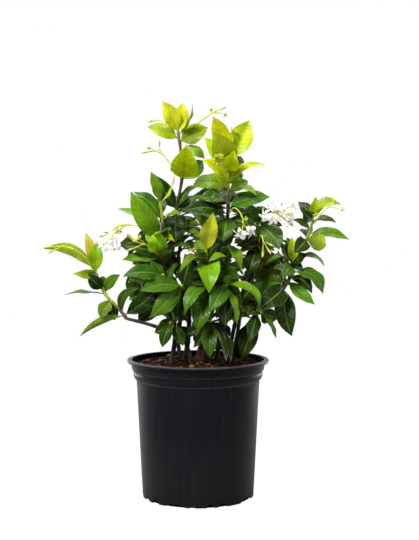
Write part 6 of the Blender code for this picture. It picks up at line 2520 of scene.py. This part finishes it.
@dataclass
class Pot:
    """The black nursery pot: a turned shell with notches under its foot, in millimetres. Its profile
    runs from under the foot up the outside and down the inside, and each notch has its bearing in
    degrees from the front, its width and its height."""

    sides: int = 128
    outer: tuple = ((68.0, 2.6), (74.0, 2.4), (75.4, 0.3), (76.6, 0.0), (79.6, 0.0), (80.4, 0.4), (80.6, 6.6),
                    (81.6, 6.8), (82.2, 0.9), (82.8, 0.2), (83.4, 0.2), (84.0, 1.0), (84.1, 6.0),
                    (85.6, 34.0), (87.2, 66.0), (88.9, 100.0), (90.6, 134.0), (92.3, 168.0),
                    (92.7, 175.2), (93.0, 176.2), (94.0, 177.3), (95.5, 178.8), (96.6, 181.0), (97.3, 184.0),
                    (97.4, 187.6), (97.1, 189.3), (97.3, 190.1), (98.4, 191.0), (99.4, 192.8), (100.1, 195.6),
                    (100.6, 199.6), (101.0, 201.0), (102.2, 201.5), (104.6, 202.0), (106.2, 203.0),
                    (106.8, 204.6), (106.6, 206.0), (105.8, 206.9), (104.6, 207.2), (101.0, 207.2),
                    (99.6, 206.9))
    inner: tuple = ((98.9, 206.2), (98.5, 205.0), (97.7, 200.5), (96.6, 194.0), (94.4, 185.5), (92.8, 178.0),
                    (90.4, 171.0), (86.6, 95.0), (82.5, 11.0), (81.3, 9.2))
    notches: tuple = ((-64.0, 14.0, 5.5), (-48.0, 13.0, 6.0), (-23.6, 32.0, 4.6), (-5.5, 8.0, 2.6),
                      (12.4, 11.0, 5.6), (25.6, 14.0, 6.0), (60.3, 34.0, 5.4), (90.0, 13.0, 5.6),
                      (104.0, 13.0, 5.6), (134.0, 32.0, 5.0), (163.0, 12.0, 5.6), (177.0, 12.0, 5.6),
                      (206.0, 32.0, 5.0), (236.0, 13.0, 5.6), (252.0, 13.0, 5.6), (274.0, 20.0, 4.6))
    notch_radius: float = 84.5
    notch_depth: float = 7.4
    notch_sides: int = 24
    ring_radius: float = 82.0
    ring_height: float = 6.9
    inside_height: float = 185.0

    def build(self, finish: bpy.types.Material, painted_shade: bpy.types.Material) -> None:
        """Model the pot.

        Args:
            finish: its finish.
            painted_shade: the near-black finish painted as shade on the ring behind the notches and on the
                inner wall near the rim.
        """
        piece = ring_form(self.sides, (*self.outer, *self.inner))
        for notch in self.notches:
            self.cut_notch(piece, *notch)
        piece.data.materials.clear()
        piece.data.materials.append(finish)
        piece.data.materials.append(painted_shade)
        # Painted shade: faces low inside the ring behind the notches, and inward faces of the wall near the
        # rim, take the near-black finish.
        for polygon in piece.data.polygons:
            place = polygon.center
            deep = place.xy.length < self.ring_radius and place.z < self.ring_height
            inward = polygon.normal.xy.dot(place.xy) < -0.4 * place.xy.length
            polygon.material_index = int(deep or (place.z > self.inside_height and inward))
        activate(piece)
        piece.scale = (MM, MM, MM)
        bpy.ops.object.transform_apply(scale=True)
        dress(piece, 32.0)
        declare("pot", "pot", piece)

    def cut_notch(self, piece: bpy.types.Object, bearing: float, width: float, height: float) -> None:
        """Scallop the edge of the foot, in front of the ring that the pot stands on.

        Args:
            piece: the pot.
            bearing: where it is round the pot, in degrees from the front.
            width: how wide it is.
            height: how high it is.
        """
        angle = math.radians(bearing)
        bpy.ops.object.select_all(action="DESELECT")
        bpy.ops.mesh.primitive_cylinder_add(vertices=self.notch_sides, radius=0.5, depth=self.notch_depth,
                                            rotation=(math.radians(90.0), 0.0, 0.0))
        cutter = bpy.context.object
        bpy.ops.object.transform_apply(rotation=True)
        cutter.scale = (width, 1.0, 2.0 * height)
        cutter.rotation_euler = (0.0, 0.0, angle)
        cutter.location = Vector((math.sin(angle), -math.cos(angle), 0.0)) * self.notch_radius
        bpy.ops.object.transform_apply(location=True, rotation=True, scale=True)
        activate(piece)
        cut = piece.modifiers.new("Notch", "BOOLEAN")
        cut.operation = "DIFFERENCE"
        cut.object = cutter
        cut.solver = "EXACT"
        bpy.ops.object.modifier_apply(modifier=cut.name)
        bpy.data.objects.remove(cutter)


@dataclass
class Soil:
    """The soil with chips of bark and fibres on it, in millimetres. Its grain is noise of a fineness and
    a height, each form of chip has its length, width and thickness, and each pair is the least and the
    most of a seeded draw. The size of a chip is its least, what may come on top, and how rare that is."""

    sides: int = 144
    rings: int = 40
    edge: float = 97.2
    edge_height: float = 199.6
    crown: float = 203.2
    bump: float = 1.3
    side_rings: tuple = ((80.9, 9.6), (86.0, 95.0), (90.0, 171.0), (93.9, 185.5), (96.2, 194.5))
    grains: tuple = ((0.0, 0.21, 1.5), (5.0, 0.62, 1.3))
    chips: int = 900
    chip_forms: tuple = ((1.0, 0.42, 0.16), (1.0, 0.30, 0.26), (1.0, 0.70, 0.20), (1.0, 0.85, 0.62))
    chip_fineness: float = 3.1
    chip_roughness: float = 0.11
    chip_bow: float = 0.22
    chip_spread: float = 0.955
    chip_size: tuple = (1.8, 5.4, 2.8)
    chip_shade: tuple = (0.7, 1.25)
    chip_lift: tuple = (0.1, 0.16)
    chip_lean: tuple = (-0.45, 0.45)
    fibres: int = 60
    fibre_spread: float = 0.9
    fibre_length: tuple = (6.0, 18.0)
    fibre_bow: tuple = (-0.6, 0.6)
    fibre_radius: float = 0.32
    fibre_lift: float = 1.1
    fibre_wave: float = 0.5
    fibre_shade: tuple = (0.5, 1.2)
    dark: tuple = (0.021, 0.0065, 0.003)
    fibre_tone: tuple = (0.34, 0.24, 0.13)
    chip_tones: tuple = ((0.034, 0.012, 0.006), (0.130, 0.040, 0.012), (0.060, 0.020, 0.008),
                         (0.40, 0.24, 0.10), (0.16, 0.065, 0.022), (0.018, 0.007, 0.004),
                         (0.040, 0.013, 0.006), (0.024, 0.009, 0.005))
    seed: int = 23

    def height(self, across: float, deep: float) -> float:
        """The height of the bumpy top.

        Args:
            across: the place to the right.
            deep: the place away from the front.

        Returns:
            The height.
        """
        share = min(1.0, math.hypot(across, deep) / self.edge)
        bump = math.sin(across * 0.19 + 0.7) * math.cos(deep * 0.17)
        bump += 0.6 * math.sin(across * 0.41 - deep * 0.37)
        return self.crown + (self.edge_height - self.crown) * share**2 + self.bump * bump * (1.0 - share**4)

    def build(self, soil: bpy.types.Material, stalk: TubeBlank) -> None:
        """Model the soil and strew it.

        Args:
            soil: its finish.
            stalk: the rod that fibres are made of.
        """
        shares = [1.0 - ring / self.rings for ring in range(self.rings)] + [0.012]
        tops = ((self.edge * share, self.edge_height) for share in shares)
        body = ring_form(self.sides, (*self.side_rings, *tops))
        dress(body, 60.0, soil)
        form = Blank(body, self.dark)
        points = form.points.copy()
        for index, (across, deep, up) in enumerate(points):
            if up > self.edge_height - 1.0:
                points[index, 2] = self.height(across, deep) + sum(
                    noise.noise(Vector((across, deep, level)) * fineness) * high
                    for level, fineness, high in self.grains)
        rng = random.Random(self.seed)
        pieces = [form.laid(points, form.tones)]
        forms = [self.chip(soil, sizes, turn) for turn, sizes in enumerate(self.chip_forms)]
        pieces += [self.strewn(forms, rng) for _ in range(self.chips)]
        pieces += [self.fibre(stalk, soil, rng) for _ in range(self.fibres)]
        declare("soil", "soil", *pieces)

    def chip(self, finish: bpy.types.Material, sizes: tuple[float, float, float], turn: int) -> Blank:
        """A rough chip of bark, one unit long.

        Args:
            finish: its finish.
            sizes: its length, width and thickness.
            turn: which chip it is, which varies its roughness.

        Returns:
            The blank.
        """
        bpy.ops.object.select_all(action="DESELECT")
        bpy.ops.mesh.primitive_cube_add(size=1.0)
        piece = bpy.context.object
        bpy.ops.object.mode_set(mode="EDIT")
        bpy.ops.mesh.subdivide(number_cuts=2)
        bpy.ops.transform.resize(value=sizes)
        bpy.ops.object.mode_set(mode="OBJECT")
        for vertex in piece.data.vertices:
            place = vertex.co * self.chip_fineness + Vector((turn * 7.0, 0.0, 0.0))
            vertex.co += Vector(noise.noise_vector(place)) * self.chip_roughness
            vertex.co.z += self.chip_bow * vertex.co.x**2
        dress(piece, 28.0, finish)
        return Blank(piece)

    def spot(self, spread: float, rng: random.Random) -> tuple[float, float]:
        """A seeded place on the soil, within a share of its radius."""
        reach = self.edge * spread * math.sqrt(rng.random())
        angle = rng.uniform(0.0, math.tau)
        return math.cos(angle) * reach, math.sin(angle) * reach

    def strewn(self, forms: Sequence[Blank], rng: random.Random) -> bpy.types.Object:
        """A chip somewhere on the soil.

        Args:
            forms: the chips to choose from.
            rng: the seeded source of its place.

        Returns:
            The chip.
        """
        across, deep = self.spot(self.chip_spread, rng)
        least, more, rarity = self.chip_size
        size = least + more * rng.random() ** rarity
        form = rng.choice(forms)
        lift = rng.uniform(*self.chip_lift) * size
        lean = Vector((rng.uniform(*self.chip_lean), rng.uniform(*self.chip_lean), 1.0)).normalized()
        tone = np.array(rng.choice(self.chip_tones)) * rng.uniform(*self.chip_shade)
        foot = Vector((across, deep, self.height(across, deep) + lift))
        return form.placed(foot, lean, rng.uniform(0.0, math.tau), size, tone)

    def fibre(self, stalk: TubeBlank, finish: bpy.types.Material, rng: random.Random) -> bpy.types.Object:
        """A pale fibre on the soil.

        Args:
            stalk: the rod that it is made of.
            finish: its finish.
            rng: the seeded source of its place.

        Returns:
            The fibre.
        """
        right, back = self.spot(self.fibre_spread, rng)
        heading = rng.uniform(0.0, math.tau)
        length, bow = rng.uniform(*self.fibre_length), rng.uniform(*self.fibre_bow)
        line = []
        for step in range(6):
            reach = length * (step / 5 - 0.5)
            across = right + math.cos(heading + bow * step / 5) * reach
            deep = back + math.sin(heading + bow * step / 5) * reach
            up = self.height(across, deep) + self.fibre_lift + self.fibre_wave * math.sin(step)
            line.append(Vector((across, deep, up)))
        tone = np.array(self.fibre_tone) * rng.uniform(*self.fibre_shade)
        piece = stalk.plain(Path(line), self.fibre_radius, tone)
        piece.data.materials[0] = finish
        return piece


@dataclass
class Studio:
    """The pale floor, the lights and the camera at the photo's angle, in metres, degrees and watts."""

    eye: tuple = (0.0, -1.701, 0.431)
    tilt: float = 3.03
    pan: float = 0.58
    lens: float = 75.6
    sensor: float = 36.0
    front: float = 0.05
    back: float = 2.1
    floor_size: float = 3.0
    floor_drop: float = 0.0004
    aim: tuple = (0.0, 0.0, 0.28)
    lights: tuple = (("key", (-1.2, -1.7, 2.2), 1.0, 124.0), ("fill", (1.9, -1.4, 1.4), 1.2, 20.0),
                     ("top", (0.1, 0.5, 2.3), 1.2, 46.0), ("left rim", (-1.05, 1.1, 0.14), 0.75, 10.5),
                     ("right rim", (1.05, 1.1, 0.14), 0.75, 8.5))

    def build(self, finish: bpy.types.Material) -> None:
        """Set up the studio.

        Args:
            finish: the floor's finish.
        """
        bpy.ops.object.select_all(action="DESELECT")
        bpy.ops.mesh.primitive_plane_add(size=self.floor_size, location=(0.0, 0.0, -self.floor_drop))
        floor = bpy.context.object
        floor.name = "floor"
        bpy.ops.object.transform_apply(location=True)
        floor.data.materials.append(finish)
        self.backdrop()
        for name, place, size, power in self.lights:
            self.light(name, place, size, power)
        camera = bpy.data.objects.new("camera", bpy.data.cameras.new("camera"))
        bpy.context.scene.collection.objects.link(camera)
        camera.location = self.eye
        camera.rotation_euler = (math.radians(90.0 - self.tilt), 0.0, math.radians(-self.pan))
        camera.data.lens = self.lens
        camera.data.sensor_width = self.sensor
        bpy.context.scene.camera = camera
        bpy.context.scene.view_settings.view_transform = "Standard"

    def backdrop(self) -> None:
        """A white surround, which lights the plant more from behind than from the front."""
        world = bpy.data.worlds.new("studio")
        world.use_nodes = True
        graph = Graph(world.node_tree)
        _, deep, up = graph.take("ShaderNodeTexCoord", {}, "Generated").apart()
        behind = deep.span(-0.05, 0.45, 0.0, self.back) * abs(up).span(0.25, 0.60, 1.0, 0.12)
        camera = graph.camera_share()
        strength = graph.highest(behind, self.front) * graph.math("SUBTRACT", 1.0, camera) + camera
        background = world.node_tree.nodes["Background"].inputs
        graph.feed(background["Color"], (1.0, 1.0, 1.0))
        graph.feed(background["Strength"], strength)
        bpy.context.scene.world = world

    def light(self, name: str, place: tuple[float, float, float], size: float, power: float) -> None:
        """A soft square light that looks at the plant.

        Args:
            name: its name.
            place: where it is.
            size: how wide it is.
            power: how strong it is.
        """
        data = bpy.data.lights.new(name, "AREA")
        data.size = size
        data.energy = power
        lamp = bpy.data.objects.new(name, data)
        bpy.context.scene.collection.objects.link(lamp)
        lamp.location = place
        lamp.visible_camera = False
        towards = Vector(self.aim) - Vector(place)
        lamp.rotation_euler = towards.to_track_quat("-Z", "Y").to_euler()


def main() -> None:
    """Build the looks of the whole plant in its pot."""
    logging.basicConfig(level=logging.INFO, format="%(message)s")
    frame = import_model()
    effects = Effects()
    upper = LeafFinish("leaf upper side", 0.30, specular=0.15).build(effects)
    under = LeafFinish("leaf underside", 0.55, specular=0.10, paleness=0.45, midrib=0.65, side=0.28)
    under = under.build(effects)
    bark = BarkFinish("bark", 0.82, specular=0.3).build(effects)
    shoots = TissueFinish("young bark", 0.62, contrast=0.30).build(effects)
    tissue = TissueFinish("stalks and buds", 0.50, contrast=0.18).build(effects)
    petals = PetalFinish("petals", 0.55).build(effects)
    plastic = PotFinish("black plastic", 0.32, specular=0.10).build(effects)
    # Painted shade: a near-black copy of the plastic for the hollows behind the notches and the inner wall
    # near the rim.
    painted_shade = PotFinish("shaded plastic", 0.85, 0.02, (0.0008, 0.0007, 0.0010), (0.006, 0.005, 0.005))
    painted_shade = painted_shade.build(effects)
    earth = SoilFinish("soil and bark chips", 0.92, specular=0.10).build(effects)
    pale = FloorFinish("pale floor", 0.8, specular=0.05).build(effects)
    growth = Growth()
    growth.grow()
    leaf, heads = LeafBlank(), HeadBlanks()
    leaf.build(upper, under)
    rod = TubeBlank(10, 56).build(shoots)
    stalk = TubeBlank(6, 8).build(tissue)
    bark_rod = TubeBlank(14, 64).build(bark)
    heads.build(petals, tissue)
    Pot().build(plastic, painted_shade)
    Soil().build(earth, stalk)
    Plant(growth, leaf, rod, stalk, bark_rod, heads).build()
    Studio().build(pale)
    LOG.info("frame %s", frame)


if __name__ == "__main__":
    main()
